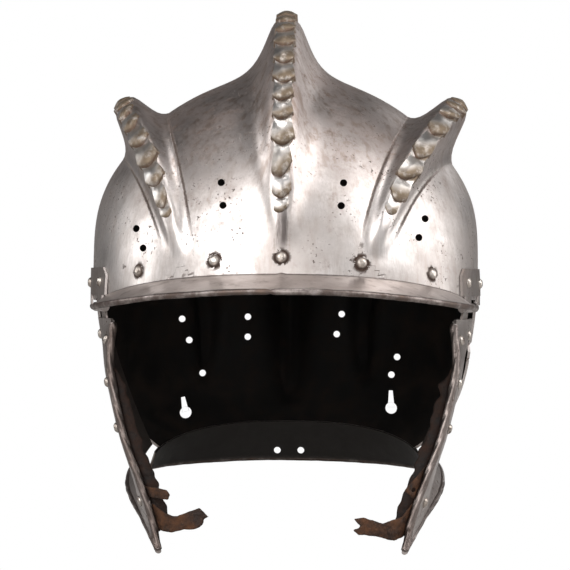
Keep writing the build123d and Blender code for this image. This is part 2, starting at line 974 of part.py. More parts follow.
def lining_strip():
    """Leather strip that lies along the inside of the front edge."""
    high = -cheek_wall - leather_clearance
    with BuildPart() as strip:
        add(cheek_layer(high - leather, high, *strip_levels, *strip_shares))
        for plane in lining_rivet_planes:
            add(hole_cut(plane, shank_hole_radius), mode=Mode.SUBTRACT)
    return strip


def bent_leather(level, path, outline):
    """Strap end: a bent band of leather, cut to its outline as seen from the front."""
    deep = cheek_wall + strap_clearance + leather / 2
    roll_deep = cheek_wall / 2 + cheek_roll_radius + strap_clearance + leather / 2
    below = min(level, 1 - 1 / cheek_levels)
    run = cheek_point(1, 0) - cheek_point(below, 0)
    start = cheek_point(level, 0, -roll_deep)
    plane = Plane(origin=start, x_dir=(1, 0, 0), z_dir=run)
    course = [cheek_point(level, strap_root_share, -deep)]
    course += [cheek_point(level, strap_lift_share, -(deep + roll_deep) / 2), start]
    course += [Vector(x, y, start.Z) for x, y in path]
    flat = [plane.to_local_coords(point) for point in course]
    with BuildLine(mode=Mode.PRIVATE) as middle:
        Spline(*[(point.X, point.Y) for point in flat])
    over, under = [], []
    steps = 2 * len(course)
    for count in range(steps + 1):
        point = middle.line @ (count / steps)
        course_way = middle.line % (count / steps)
        side = Vector(-course_way.Y, course_way.X, 0) * (leather / 2)
        over.append(point + side)
        under.append(point - side)
    with BuildPart() as strap:
        with BuildSketch(plane):
            with BuildLine():
                Spline(*over)
                Spline(*under)
                Line(over[0], under[0])
                Line(over[-1], under[-1])
            make_face()
        extrude(amount=strap_ends_reach, both=True)
        with BuildSketch(Plane.XZ):
            with BuildLine():
                Polyline(*outline, close=True)
            make_face()
        extrude(amount=far, both=True, mode=Mode.INTERSECT)
    return strap


def chin_strap(outline):
    with BuildPart() as strap:
        add(bent_leather(strap_rivet_level, strap_path, outline).part)
        add(hole_cut(strap_rivet_plane, shank_hole_radius), mode=Mode.SUBTRACT)
    return strap


def strap_tab():
    """Pierced leather end on the wearer's left cheekpiece."""
    x, z = tab_hole
    with BuildPart() as tab:
        add(bent_leather(tab_level, tab_path, tab_outline).part)
        with BuildSketch(Plane.XZ):
            with Locations((x, z)):
                Circle(tab_hole_radius)
        extrude(amount=far, mode=Mode.SUBTRACT)
    return tab


def skull_piece():
    """Skull, peak, combs and nape flange, raised from one plate."""
    lace = [level_plane(place, False) for place in front_lace_places]
    lace += [placed_plane(place) for place in side_lace_places]
    lace += [level_plane(place, True) for place in back_lace_places]
    rivets = brow_rivet_planes + leaf_rivet_planes
    rivets += [twin_plane(plane) for plane in leaf_rivet_planes]
    nape = [nape_hole_plane(side * nape_hole_spacing / 2) for side in (-1, 1)]
    with BuildPart() as skull:
        add(skull_shell())
        add(below_edge(), mode=Mode.SUBTRACT)
        add(turned_brim(*peak_points(), wall, peak_roll_radius))
        add(turned_brim(*nape_points(), wall, nape_roll_radius))
        add(rope_cuts(), mode=Mode.SUBTRACT)
        add([hole_cut(plane, lace_hole_radius) for plane in lace], mode=Mode.SUBTRACT)
        add([hole_cut(plane, shank_hole_radius) for plane in rivets], mode=Mode.SUBTRACT)
        add([hole_cut(plane, nape_hole_radius) for plane in nape], mode=Mode.SUBTRACT)
        add([keyhole_cut(side) for side in (-1, 1)], mode=Mode.SUBTRACT)
    return skull


def twin_plane(plane):
    """The same plane on the other side of the helmet."""
    origin, along, out = [Vector(-v.X, v.Y, v.Z) for v in (plane.origin, plane.x_dir, plane.z_dir)]
    return Plane(origin=origin, x_dir=along, z_dir=out)


def nape_hole_plane(x):
    """Where a hole along Y meets the nape flange."""
    share = (nape_hole_height - nape_middle_height) / (nape_edge_height - nape_middle_height)
    y = nape_middle_y + (nape_back_y - nape_middle_y) * share
    return Plane(origin=(x, y, nape_hole_height), x_dir=(1, 0, 0), z_dir=(0, 1, 0))


def mirrored(piece):
    with BuildPart() as twin:
        mirror(piece.part, about=Plane.YZ)
    return twin


brow_rivet_planes = [placed_plane(place) for place in brow_rivet_places]
leaf_rivet_planes = [leaf_plane(place) for place in leaf_rivet_places]
leaf_top_gap = leaf_clearance + leaf_thickness
leaf_head_planes = [plane.offset(leaf_top_gap) for plane in leaf_rivet_planes]
washer_depth = wall + washer_gap


def brow_washers():
    with BuildPart() as group:
        for plane in brow_rivet_planes:
            add(washer(plane, washer_depth))
    return group


brow_grip = washer_depth + washer_thickness + seat_gap
leaf_grip = leaf_top_gap + wall + washer_gap
lower_grip = cheek_wall + leaf_top_gap + washer_gap
leather_grip = cheek_wall + leather_clearance + leather + seat_gap
strap_grip = cheek_wall + strap_clearance + leather + strap_rivet_slack

left_pieces = {
    "left_cheekpiece": cheekpiece(),
    "left_hinge_upper_leaf": upper_leaf(),
    "left_hinge_lower_leaf": lower_leaf(),
    "left_hinge_pin": hinge_pin(),
    "left_upper_leaf_rivets": rivet_group(leaf_head_planes, leaf_head_radius, leaf_head_height, leaf_grip),
    "left_lower_leaf_rivets": rivet_group(
        lower_leaf_rivet_planes, cheek_head_radius, cheek_head_height, lower_grip
    ),
    "left_lining_rivets": rivet_group(
        lining_rivet_planes, cheek_head_radius, cheek_head_height, leather_grip
    ),
    "left_strap_rivet": rivet_group([strap_rivet_plane], cheek_head_radius, cheek_head_height, strap_grip),
    "left_lining_strip": lining_strip(),
}
pieces = {
    "skull": skull_piece(),
    "brow_rivets": rivet_group(brow_rivet_planes, brow_head_radius, brow_head_height, brow_grip),
    "brow_rivet_washers": brow_washers(),
}
pieces.update(left_pieces)
pieces.update({name.replace("left", "right"): mirrored(piece) for name, piece in left_pieces.items()})
pieces["left_chin_strap"] = chin_strap(left_strap_outline)
pieces["left_strap_tab"] = strap_tab()
pieces["right_chin_strap"] = mirrored(chin_strap(right_strap_outline))
pieces["right_strap_stub"] = mirrored(bent_leather(stub_level, stub_path, stub_outline))

for name, piece in pieces.items():
    piece.part.label = name
    export_step(piece.part, "parts/" + name + ".step")
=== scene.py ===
"""Looks of a three-combed burgonet: hammered steel, roped combs, rusty rivets and old leather.

Everything is in metres in the frame of the solids: the front faces -Y, +Z is up, and the
wearer's left is +X. Sizes are written in millimetres and brought to metres with MM.
"""

import bmesh
import bpy
import math
from collections import namedtuple
from mathutils import Matrix, Vector, noise


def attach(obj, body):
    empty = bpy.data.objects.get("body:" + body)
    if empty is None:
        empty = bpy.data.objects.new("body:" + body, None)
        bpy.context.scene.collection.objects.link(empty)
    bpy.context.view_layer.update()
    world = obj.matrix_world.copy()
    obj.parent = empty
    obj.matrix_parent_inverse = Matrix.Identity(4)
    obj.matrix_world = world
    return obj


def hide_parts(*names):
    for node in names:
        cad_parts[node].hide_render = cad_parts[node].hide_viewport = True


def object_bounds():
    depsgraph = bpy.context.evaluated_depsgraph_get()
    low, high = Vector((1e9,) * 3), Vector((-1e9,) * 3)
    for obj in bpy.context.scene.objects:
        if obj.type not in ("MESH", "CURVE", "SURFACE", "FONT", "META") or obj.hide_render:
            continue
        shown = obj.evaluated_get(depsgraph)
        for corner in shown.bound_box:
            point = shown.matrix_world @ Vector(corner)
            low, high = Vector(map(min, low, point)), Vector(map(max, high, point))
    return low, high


MM = 0.001
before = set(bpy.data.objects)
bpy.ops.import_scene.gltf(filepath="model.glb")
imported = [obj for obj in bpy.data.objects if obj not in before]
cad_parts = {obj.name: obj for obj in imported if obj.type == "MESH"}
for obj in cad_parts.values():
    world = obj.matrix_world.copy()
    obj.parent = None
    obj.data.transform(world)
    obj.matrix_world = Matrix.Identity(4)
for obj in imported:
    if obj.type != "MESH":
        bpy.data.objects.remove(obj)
solid_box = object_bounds()

# Camera. A long lens from 1.6 m in front, level with the brow and a little to the
# wearer's left, so that the helmet fills the height of the picture.
camera_distance = 1.6
camera_turn, camera_roll = math.radians(1.2), math.radians(-0.21)
picture_width, focal_pixels, sideways_pixels = 570.0, 2912.0, -0.74
camera_data = bpy.data.cameras.new("camera")
camera_data.sensor_width = 36.0
camera_data.lens = camera_data.sensor_width * focal_pixels / picture_width
camera_data.clip_end = 20.0
camera_data.shift_x = sideways_pixels / picture_width
camera = bpy.data.objects.new("camera", camera_data)
camera.location = (camera_distance * math.sin(camera_turn),
                   -camera_distance * math.cos(camera_turn), 0.0)
camera.rotation_euler = (math.radians(90), camera_roll, camera_turn)
bpy.context.scene.collection.objects.link(camera)
bpy.context.scene.camera = camera


# Skull. One steel plate raised by hammer into a dome with three hollow combs, bright where
# it was wiped for centuries and brown in its pits; blackened inside. Its shape fans out
# round a line from ear to ear: an angle from the front, and a lean to the side.
skull_half_width = 105.5
crown_rise, neck_drop = 133.0, 96.0
front_reach, back_reach = 118.5, 113.0
pole_back, pole_drop, pole_hole = 5.0, 22.0, 10.0
pole = Vector((0, pole_back, -pole_drop))
profile_power = 2.11
level_power, crown_power, neck_power = 2.28, 2.47, 2.8
shoulder_swell, shoulder_lean, shoulder_spread = 0.042, 56.3, 14
plate = 1.5


def within(value, low=0.0, high=1.0):
    return min(max(value, low), high)


def profile_radius(angle):
    forward, upward = math.cos(math.radians(angle)), math.sin(math.radians(angle))
    level = front_reach if forward > 0 else back_reach
    plumb = crown_rise if upward > 0 else neck_drop
    total = (abs(forward) / level) ** profile_power + (abs(upward) / plumb) ** profile_power
    return total ** (-1 / profile_power)


def squareness(angle):
    upward = math.sin(math.radians(angle))
    return level_power + ((crown_power if upward > 0 else neck_power) - level_power) * upward ** 2


def fullness(angle, lean):
    upward = max(math.sin(math.radians(angle)), 0)
    away = (abs(math.degrees(lean)) - shoulder_lean) / shoulder_spread
    return 1 + shoulder_swell * upward ** 2 * math.exp(-away ** 2)


def dome_radius(angle, lean):
    n = squareness(angle)
    across = abs(math.sin(lean)) / skull_half_width
    along = abs(math.cos(lean)) / profile_radius(angle)
    return fullness(angle, lean) * (across ** n + along ** n) ** (-1 / n)


# Each comb has its lean over the crown and how much less it leans in front, its height, its
# first and last angle, its half width, how squarely it stands on the dome, and the share of
# its height that is cut away at its foot
Comb = namedtuple("Comb", "lean less height first last half square cut")
combs = {
    "middle": Comb(0.0, 0.0, 43.4, 19.0, 207.0, 11.6, 2.37, 0.0),
    "left": Comb(38.0, 16.8, 30.0, 19.0, 201.0, 9.25, 4.04, 0.06),
    "right": Comb(-36.5, -11.8, 26.2, 19.0, 201.0, 9.25, 4.04, 0.06),
}
rise_power = 1.15
end_share, full_share = 0.455, 0.545
smallest_scale, scale_start, scale_growth = 0.35, 1.5, 9.0
rope_seat, seat_half = 3.3, 5.2


def crest_lean(comb, angle):
    return math.radians(comb.lean - comb.less * math.cos(math.radians(angle)) ** 2)


def comb_rise(comb, angle):
    share = (angle - comb.first) / (comb.last - comb.first)
    return comb.height * (4 * share * (1 - share)) ** rise_power if 0 < share < 1 else 0.0


def comb_half(comb, rise):
    return comb.half * (end_share + full_share * rise / comb.height)


def rope_size(rise):
    """How large the scales are where a comb has this height."""
    return within((rise - scale_start) / scale_growth, smallest_scale)


def comb_height(comb, angle, offset):
    """Height of one comb over the dome, its foot cut crisp and its crest set down for the rope."""
    rise = comb_rise(comb, angle)
    if rise <= 0:
        return 0.0
    height = rise / (1 + (abs(offset) / comb_half(comb, rise)) ** comb.square)
    height = max(height - comb.cut * rise, 0.0) * (1 + comb.cut)
    size = rope_size(rise)
    seat = rope_seat * size * within((rise - 3.5) / 2.5)
    return height - seat * math.exp(-(offset / (seat_half * size ** 0.5)) ** 4)


def shell_point(angle, lean, radius):
    reach = radius * math.cos(lean)
    turn = math.radians(angle)
    return Vector((radius * math.sin(lean), pole_back - reach * math.cos(turn),
                   reach * math.sin(turn) - pole_drop))


def skull_radius(angle, lean):
    radius = dome_radius(angle, lean)
    heights = (comb_height(c, angle, radius * (lean - crest_lean(c, angle))) for c in combs.values())
    return radius + sum(heights)


# The plate's lower edge in side view: from the brow past the ear to the nape
edge_corners = ((-112.5, 4.5), (-56, -7), (14, -9), (33, -32), (52, -93), (97, -80))
brow_stretch, nape_stretch = 0, 4


def edge_height(y, stretch):
    """Height along one stretch of the lower edge, carried on beyond its ends."""
    (y0, z0), (y1, z1) = edge_corners[stretch:stretch + 2]
    return z0 + (z1 - z0) * (y - y0) / (y1 - y0)


def lower_edge(y):
    return edge_height(y, sum(y > corner for corner, _ in edge_corners[1:-1]))


def waves(point, steps):
    """The unevenness of hand work, each step with its depth and its length."""
    return sum(depth * noise.noise(point / length) for depth, length in steps)


def link_piece(name, bm, *materials, smooth=40):
    """Make the finished piece from its mesh, shaded smooth up to an angle."""
    mesh = bpy.data.meshes.new(name)
    bm.to_mesh(mesh)
    bm.free()
    for material in materials:
        mesh.materials.append(material)
    piece = bpy.data.objects.new(name, mesh)
    bpy.context.scene.collection.objects.link(piece)
    mesh.shade_smooth()
    if smooth < 180:
        mesh.set_sharp_from_angle(angle=math.radians(smooth))
    return piece


def smooth_ramp(nodes, low, high, start, end):
    node = nodes.new("ShaderNodeMapRange")
    node.interpolation_type = "SMOOTHSTEP"
    for key, number in (("From Min", low), ("From Max", high), ("To Min", start), ("To Max", end)):
        node.inputs[key].default_value = number
    return node


class Finish:
    """A material's nodes, laid and joined one after another."""

    def __init__(self, name):
        self.material = bpy.data.materials.new(name)
        self.material.use_nodes = True
        self.nodes = self.material.node_tree.nodes
        self.links = self.material.node_tree.links
        self.shader = self.nodes["Principled BSDF"]
        self.place = self.nodes.new("ShaderNodeTexCoord").outputs["Object"]

    def join(self, value, socket):
        if isinstance(value, bpy.types.NodeSocket):
            self.links.new(value, socket)
        else:
            socket.default_value = value

    def noise(self, scale, detail=4.0, rough=0.55, stretch=None, distort=0.0):
        vector = self.place
        if stretch:
            mapping = self.nodes.new("ShaderNodeMapping")
            mapping.inputs["Scale"].default_value = stretch
            self.links.new(vector, mapping.inputs["Vector"])
            vector = mapping.outputs["Vector"]
        node = self.nodes.new("ShaderNodeTexNoise")
        self.links.new(vector, node.inputs["Vector"])
        node.inputs["Scale"].default_value = scale
        node.inputs["Detail"].default_value = detail
        node.inputs["Roughness"].default_value = rough
        node.inputs["Distortion"].default_value = distort
        return node.outputs["Fac"]

    def spots(self, scale):
        node = self.nodes.new("ShaderNodeTexVoronoi")
        self.links.new(self.place, node.inputs["Vector"])
        node.inputs["Scale"].default_value = scale
        return node.outputs["Distance"], node.outputs["Color"]

    def ramp(self, value, low, high, start=0.0, end=1.0):
        node = smooth_ramp(self.nodes, low, high, start, end)
        self.join(value, node.inputs["Value"])
        return node.outputs["Result"]

    def maths(self, operation, first, second=0.0):
        node = self.nodes.new("ShaderNodeMath")
        node.operation = operation
        self.join(first, node.inputs[0])
        self.join(second, node.inputs[1])
        return node.outputs["Value"]

    def times(self, first, second):
        return self.maths("MULTIPLY", first, second)

    def plus(self, first, second):
        return self.maths("ADD", first, second)

    def minus(self, first, second):
        return self.maths("SUBTRACT", first, second)

    def larger(self, first, second):
        return self.maths("MAXIMUM", first, second)

    def mix(self, share, first, second):
        node = self.nodes.new("ShaderNodeMix")
        node.data_type = "RGBA"
        self.join(share, node.inputs[0])
        self.join(first, node.inputs[6])
        self.join(second, node.inputs[7])
        return node.outputs[2]

    def axis(self, name, vector=None):
        node = self.nodes.new("ShaderNodeSeparateXYZ")
        self.links.new(vector or self.place, node.inputs[0])
        return node.outputs[name]

    def near(self, spot, inner, outer):
        """One within inner of a spot in millimetres, falling to nothing at outer."""
        node = self.nodes.new("ShaderNodeVectorMath")
        node.operation = "DISTANCE"
        self.links.new(self.place, node.inputs[0])
        node.inputs[1].default_value = Vector(spot) * MM
        return self.ramp(node.outputs["Value"], inner * MM, outer * MM, 1.0, 0.0)

    def near_any(self, spots):
        """The most that any of the spots gives, each with its inner and outer reach."""
        most = None
        for spot, inner, outer in spots:
            ring = self.near(spot, inner, outer)
            most = ring if most is None else self.larger(most, ring)
        return most

    def mark(self, name, axis):
        """One of the two numbers that a piece's own map holds for each point."""
        node = self.nodes.new("ShaderNodeUVMap")
        node.uv_map = name
        return self.axis(axis, node.outputs["UV"])

    def bump(self, height, depth, strength=1.0, normal=None):
        node = self.nodes.new("ShaderNodeBump")
        node.inputs["Strength"].default_value = strength
        node.inputs["Distance"].default_value = depth * MM
        self.join(height, node.inputs["Height"])
        if normal:
            self.links.new(normal, node.inputs["Normal"])
        return node.outputs["Normal"]

    def finish(self, colour, metal, rough, normal):
        self.join(colour, self.shader.inputs["Base Color"])
        self.join(metal, self.shader.inputs["Metallic"])
        self.join(rough, self.shader.inputs["Roughness"])
        self.links.new(normal, self.shader.inputs["Normal"])
        return self.material


def find_y(x, height, rear):
    """Where the dome's outer face lies at x, where height gives z for a y."""
    outside, halvings = 260.0, 32
    near, away = pole_back, outside if rear else -outside
    for _ in range(halvings):
        y = (near + away) / 2
        forward, upward = pole_back - y, height(y) + pole_drop
        angle = math.degrees(math.atan2(upward, forward))
        distance = math.hypot(forward, upward)
        lean = math.atan2(x, distance)
        if math.hypot(x, distance) < dome_radius(angle, lean):
            near = y
        else:
            away = y
    return near


# The first colour darkens the upper dome: part brown film, part painted shade of a dim reflection
# overhead.
crown_film_and_shade_tint, fleck_brown = (0.41, 0.326, 0.300, 1), (0.15, 0.09, 0.06, 1)
pit_brown, rust_brown = (0.06, 0.038, 0.028, 1), (0.042, 0.022, 0.014, 1)
# Of the next two colours, the second is a painted shadow and dark reflection of the middle ridge.
crease_brown, ridge_shadow_grey = (0.07, 0.045, 0.033, 1), (0.085, 0.070, 0.066, 1)
rust_fringe = 2.6


def worn_steel(name, bright, dull, brown, pitting=1.0, rust_spots=(), creases_and_painted_shade=False, polish=0.37):
    """Old steel: rubbed bright, filmed with brown, brushed upright, pitted and stained. For the skull
    it also gets a crown darkened partly by painted shade, dark crease lines, and a painted shadow below
    the middle ridge.
    """
    steel = Finish(name)
    film = steel.noise(30, 7.0, 0.66)
    brushed = steel.noise(1.0, 4.0, 0.65, (1100, 1100, 80))
    streak = steel.noise(1.0, 4.0, 0.6, (260, 260, 26))
    cloud = steel.noise(85, 9.0, 0.72, distort=0.6)
    fine = steel.noise(520, 6.0, 0.72)
    colour = steel.mix(steel.ramp(film, 0.36, 0.64), bright, dull)
    colour = steel.mix(steel.ramp(brushed, 0.42, 0.70, 0.0, 0.55), colour, dull)
    if creases_and_painted_shade:
        # Darker and browner towards the crown: partly brown film, partly painted shade standing in for
        # the dimmer reflection overhead.
        crown_film_and_shade = steel.ramp(steel.axis("Z"), 0.025, 0.10, 0.0, 0.62)
        crown_film_and_shade = steel.times(crown_film_and_shade, steel.ramp(film, 0.3, 0.7, 0.7, 1.0))
        colour = steel.mix(crown_film_and_shade, colour, crown_film_and_shade_tint)
    # Brown film and flecks, more of them towards the crown
    high = steel.ramp(steel.axis("Z"), 0.02, 0.12, 0.30, 1.0)
    warm = steel.times(steel.ramp(streak, 0.46, 0.68, 0.0, 0.75), high)
    colour = steel.mix(warm, colour, brown)
    stain = steel.times(steel.ramp(cloud, 0.49, 0.66), steel.ramp(fine, 0.38, 0.66))
    stain = steel.times(stain, high)
    colour = steel.mix(steel.times(stain, 0.9), colour, fleck_brown)
    # Pits in loose groups, and a few larger blots
    patch = steel.ramp(steel.noise(48, 3.0, 0.5), 0.56 - 0.05 * pitting, 0.70 - 0.05 * pitting)
    eaten = steel.ramp(steel.noise(640, 3.0, 0.5), 0.615, 0.67)
    pits = steel.times(eaten, patch)
    wide, wide_tint = steel.spots(120)
    chosen = steel.ramp(steel.axis("X", wide_tint), 0.90, 0.94)
    blot = steel.plus(wide, steel.ramp(fine, 0.2, 0.8, -0.18, 0.18))
    blots = steel.times(steel.ramp(blot, 0.03, 0.22, 0.9, 0.0), chosen)
    pits = steel.larger(pits, blots)
    colour = steel.mix(steel.times(pits, 0.85), colour, pit_brown)
    rough = steel.ramp(film, 0.3, 0.7, polish - 0.03, polish + 0.09)
    rough = steel.plus(rough, steel.ramp(brushed, 0.4, 0.8, 0.0, 0.10))
    rough = steel.plus(rough, steel.times(stain, 0.16))
    rough = steel.plus(rough, steel.times(pits, 0.35))
    metal = steel.minus(1.0, steel.times(pits, 0.15))
    if rust_spots:
        rust = steel.near_any([(spot, size, size + rust_fringe) for spot, size in rust_spots])
        ragged = steel.ramp(steel.noise(330, 5.0, 0.6), 0.34, 0.64, -0.75, 0.55)
        rust = steel.times(rust, steel.ramp(steel.plus(rust, ragged), 0.25, 0.75))
        colour = steel.mix(rust, colour, rust_brown)
        rough = steel.plus(rough, steel.times(rust, 0.35))
        metal = steel.minus(metal, steel.times(rust, 0.7))
    normal = steel.bump(brushed, 0.03, 0.7)
    normal = steel.bump(steel.noise(170, 5.0, 0.6), 0.09, 0.8, normal)
    normal = steel.bump(steel.times(pits, -1.0), 0.05, 0.6, normal)
    if creases_and_painted_shade:
        # The dark line along each comb's foot and over the brow
        across, strength = steel.mark("comb_foot", "X"), steel.mark("comb_foot", "Y")
        wander = steel.ramp(fine, 0.2, 0.8, -0.03, 0.03)
        line = steel.ramp(steel.maths("ABSOLUTE", steel.plus(across, wander)), 0.02, 0.11, 1.0, 0.0)
        line = steel.times(line, strength)
        colour = steel.mix(steel.times(line, 0.8), colour, crease_brown)
        normal = steel.bump(steel.times(line, -1.0), 0.5, 1.0, normal)
        rough = steel.plus(rough, steel.times(line, 0.3))
        # Painted shadow and dark reflection of the middle ridge: a dark streak that runs up from the
        # middle rivet
        from_middle = steel.plus(steel.axis("X"), steel.ramp(streak, 0.3, 0.7, -0.0016, 0.0016))
        ridge_shadow = steel.ramp(steel.maths("ABSOLUTE", from_middle), 0.0006, 0.0036, 0.9, 0.0)
        ridge_shadow = steel.times(ridge_shadow, steel.ramp(steel.axis("Z"), 0.016, 0.024))
        ridge_shadow = steel.times(ridge_shadow, steel.ramp(steel.axis("Z"), 0.032, 0.048, 1.0, 0.0))
        ridge_shadow = steel.times(ridge_shadow, steel.ramp(steel.axis("Y"), -0.06, -0.02, 1.0, 0.0))
        colour = steel.mix(ridge_shadow, colour, ridge_shadow_grey)
    return steel.finish(colour, metal, rough, normal)


old_paint, old_smoke = (0.005, 0.0042, 0.0038, 1), (0.016, 0.010, 0.007, 1)


def blackened(name):
    """The inside of the plate, black with old paint and smoke over brown rust."""
    black = Finish(name)
    cloud = black.noise(60, 8.0, 0.65)
    colour = black.mix(black.ramp(cloud, 0.4, 0.72), old_paint, old_smoke)
    fine = black.noise(500, 5.0, 0.6)
    normal = black.bump(fine, 0.15, 0.7)
    rough = black.ramp(cloud, 0.3, 0.7, 0.62, 0.82)
    black.shader.inputs["Specular IOR Level"].default_value = 0.25
    return black.finish(colour, 0.0, rough, normal)


# The brow rivets' places, and how far the rust has crept round each
brow_rivets = ((-75.0, 7.0), (-34.5, 12.4), (0.0, 14.2), (41.0, 11.5), (78.0, 6.0))
rust_reach = (3.2, 3.5, 3.4, 3.9, 3.1)
rivet_heads = [(x, find_y(x, lambda _: z, False), z) for x, z in brow_rivets]
bright_steel, dull_steel = (0.64, 0.60, 0.58, 1), (0.43, 0.39, 0.37, 1)
brown_film = (0.26, 0.19, 0.15, 1)
skull_steel = worn_steel("skull_steel", bright_steel, dull_steel, brown_film, 1.7,
                         list(zip(rivet_heads, rust_reach)), True)
inside_black = blackened("inside_black")

skull_rows, skull_columns = 216, 176
first_angle, angle_span = 2.5, 245.0
crest_share, outer_crowding, inner_even, inner_crowded = 0.56, 1.7, 0.30, 0.70


def column_lean(angle, u):
    """Lean of a column, the columns drawn together over the three crests."""
    edge = math.atan(skull_half_width / pole_hole)
    stops = (-edge, crest_lean(combs["right"], angle), 0.0, crest_lean(combs["left"], angle), edge)
    marks = (-1.0, -crest_share, 0.0, crest_share, 1.0)
    k = sum(u > mark for mark in marks[1:4])
    t = (u - marks[k]) / (marks[k + 1] - marks[k])
    if k == 0:
        t = 1 - (1 - t) ** outer_crowding
    elif k == 3:
        t = t ** outer_crowding
    else:
        t = inner_even * t + inner_crowded * t * t * (3 - 2 * t)
    return stops[k] + (stops[k + 1] - stops[k]) * t


crease_unit, crease_rise, crease_strength = 10, 0.35, 0.9
no_crease = (9.0, 0.0)


def foot_mark(angle, lean):
    """Centimetres from the nearest crease, at a comb's foot or the brow, and its strength."""
    spot = shell_point(angle, lean, dome_radius(angle, lean))
    best = no_crease
    if spot.y < -50 and spot.z < 20:
        best = ((spot.z - lower_edge(spot.y) - crease_rise) / crease_unit, crease_strength)
    for comb in (combs["left"], combs["right"]):
        rise = comb_rise(comb, angle)
        foot = comb_half(comb, max(rise, 0.1)) * (1 / comb.cut - 1) ** (1 / comb.square)
        offset = abs(dome_radius(angle, lean) * (lean - crest_lean(comb, angle)))
        if abs(offset - foot) < abs(best[0]) * crease_unit:
            fade = within((rise - 2.0) / 4.0) * within((24.0 - rise) / 8.0, 0.25)
            best = ((offset - foot) / crease_unit, fade)
    return best


def face_outward(sheet):
    """Turn the faces of an open sheet away from the pole."""
    bmesh.ops.recalc_face_normals(sheet, faces=sheet.faces)
    if sum(face.normal.dot(face.calc_center_median() - pole * MM) for face in sheet.faces) < 0:
        bmesh.ops.reverse_faces(sheet, faces=sheet.faces)


def write_marks(sheet, layer, marks):
    """Write each point's mark into the UV map of the faces round it."""
    for face in sheet.faces:
        for loop in face.loops:
            loop[layer].uv = marks[loop.vert.index]


merge_step, beyond_edge = 1e-7, 300.0
hammer_waves = ((0.30, 34), (0.13, 13))
shell = bmesh.new()
bmesh.ops.create_grid(shell, x_segments=skull_columns, y_segments=skull_rows, size=1.0)
foot_layer = shell.loops.layers.uv.new("comb_foot")
marks = {}
for corner in shell.verts:
    angle = first_angle + (corner.co.y + 1) / 2 * angle_span
    lean = column_lean(angle, corner.co.x)
    spot = shell_point(angle, lean, skull_radius(angle, lean))
    spot += (spot - pole).normalized() * waves(spot, hammer_waves)
    marks[corner.index] = foot_mark(angle, lean)
    corner.co = spot * MM
write_marks(shell, foot_layer, marks)
face_outward(shell)

# The sheet is parted at the corners of the lower edge, and each part is trimmed along its stretch
corner_stops = [y for y, _ in edge_corners[1:-1]]
for y in corner_stops:
    every = shell.verts[:] + shell.edges[:] + shell.faces[:]
    bmesh.ops.bisect_plane(shell, geom=every, dist=merge_step,
                           plane_co=(0, y * MM, 0), plane_no=(0, 1, 0))
ends = [-beyond_edge] + corner_stops + [beyond_edge]
for low, high in zip(ends, ends[1:]):
    inside = [f for f in shell.faces if low < f.calc_center_median().y / MM < high]
    corners, edges = {v for f in inside for v in f.verts}, {e for f in inside for e in f.edges}
    first, last = max(low, edge_corners[0][0]) + 0.1, min(high, edge_corners[-1][0]) - 0.1
    run, climb = last - first, lower_edge(last) - lower_edge(first)
    bmesh.ops.bisect_plane(shell, geom=list(corners) + list(edges) + inside, dist=merge_step,
                           plane_co=Vector((0, first, lower_edge(first))) * MM,
                           plane_no=Vector((0, climb, -run)).normalized(), clear_outer=True)
loose = [v for v in shell.verts if not v.link_faces]
bmesh.ops.delete(shell, geom=loose, context="VERTS")
skull = link_piece("skull_plate", shell, skull_steel, inside_black, smooth=38)
wall = skull.modifiers.new("wall", "SOLIDIFY")
wall.thickness = plate * MM
wall.offset = -1.0
wall.material_offset = 1
wall.material_offset_rim = 0


# Holes. Punched from outside: pairs for the lining's laces, a row across the back, and two
# keyholes, of which one leans.
brow_holes = ((31.7, 53.0), (30.5, 41.0), (-31.7, 53.0), (-30.5, 41.0),
              (-77.0, 29.3), (-72.8, 19.0), (74.4, 35.0), (71.0, 25.0))
back_holes = ((-24.7, -18.8), (-24.7, -30.6), (30.6, -17.0), (27.7, -28.8), (-62.6, -20.0),
              (-58.5, -32.4), (-50.7, -51.7), (63.0, -41.7), (59.7, -52.0))
lace_radius, keyhole_radius, keyhole_side = 1.9, 3.3, 59.5
neck_foot, neck_foot_half, neck_top_half, neck_depth = 0.5, 1.9, 1.1, 18
hole_sides, brow_depth, back_depth = 20, 12.0, 9.0


def pin(tool, spot, radius, depth):
    """A level round punch, set through the plate from front to back."""
    level = Matrix.Translation(Vector(spot) * MM) @ Matrix.Rotation(math.radians(90), 4, "X")
    bmesh.ops.create_cone(tool, cap_ends=True, segments=hole_sides, radius1=radius * MM,
                          radius2=radius * MM, depth=2 * depth * MM, matrix=level)


punches = bmesh.new()
for x, z in brow_holes:
    pin(punches, (x, find_y(x, lambda _: z, False), z), lace_radius, brow_depth)
for x, z in back_holes:
    pin(punches, (x, find_y(x, lambda _: z, True), z), lace_radius, back_depth)
for side, slant, height, neck_top in ((-1, 12, -74.0, 9.0), (1, 1, -71.0, 10.0)):
    middle = Vector((side * keyhole_side, find_y(keyhole_side, lambda _: height, True), height))
    pin(punches, middle, keyhole_radius, back_depth)
    lean = Matrix.Rotation(math.radians(-slant), 4, "Y")
    neck = bmesh.ops.create_cube(punches, size=1.0)["verts"]
    for corner in neck:
        upper = corner.co.z > 0
        half_width = neck_top_half if upper else neck_foot_half
        corner.co = Vector((half_width * 2 * corner.co.x, neck_depth * corner.co.y,
                            neck_top if upper else neck_foot))
        corner.co = (lean @ corner.co + middle) * MM


def applied(piece):
    """The piece's mesh with its modifiers worked in."""
    graph = bpy.context.evaluated_depsgraph_get()
    mesh = bpy.data.meshes.new_from_object(piece.evaluated_get(graph), depsgraph=graph)
    piece.modifiers.clear()
    return mesh


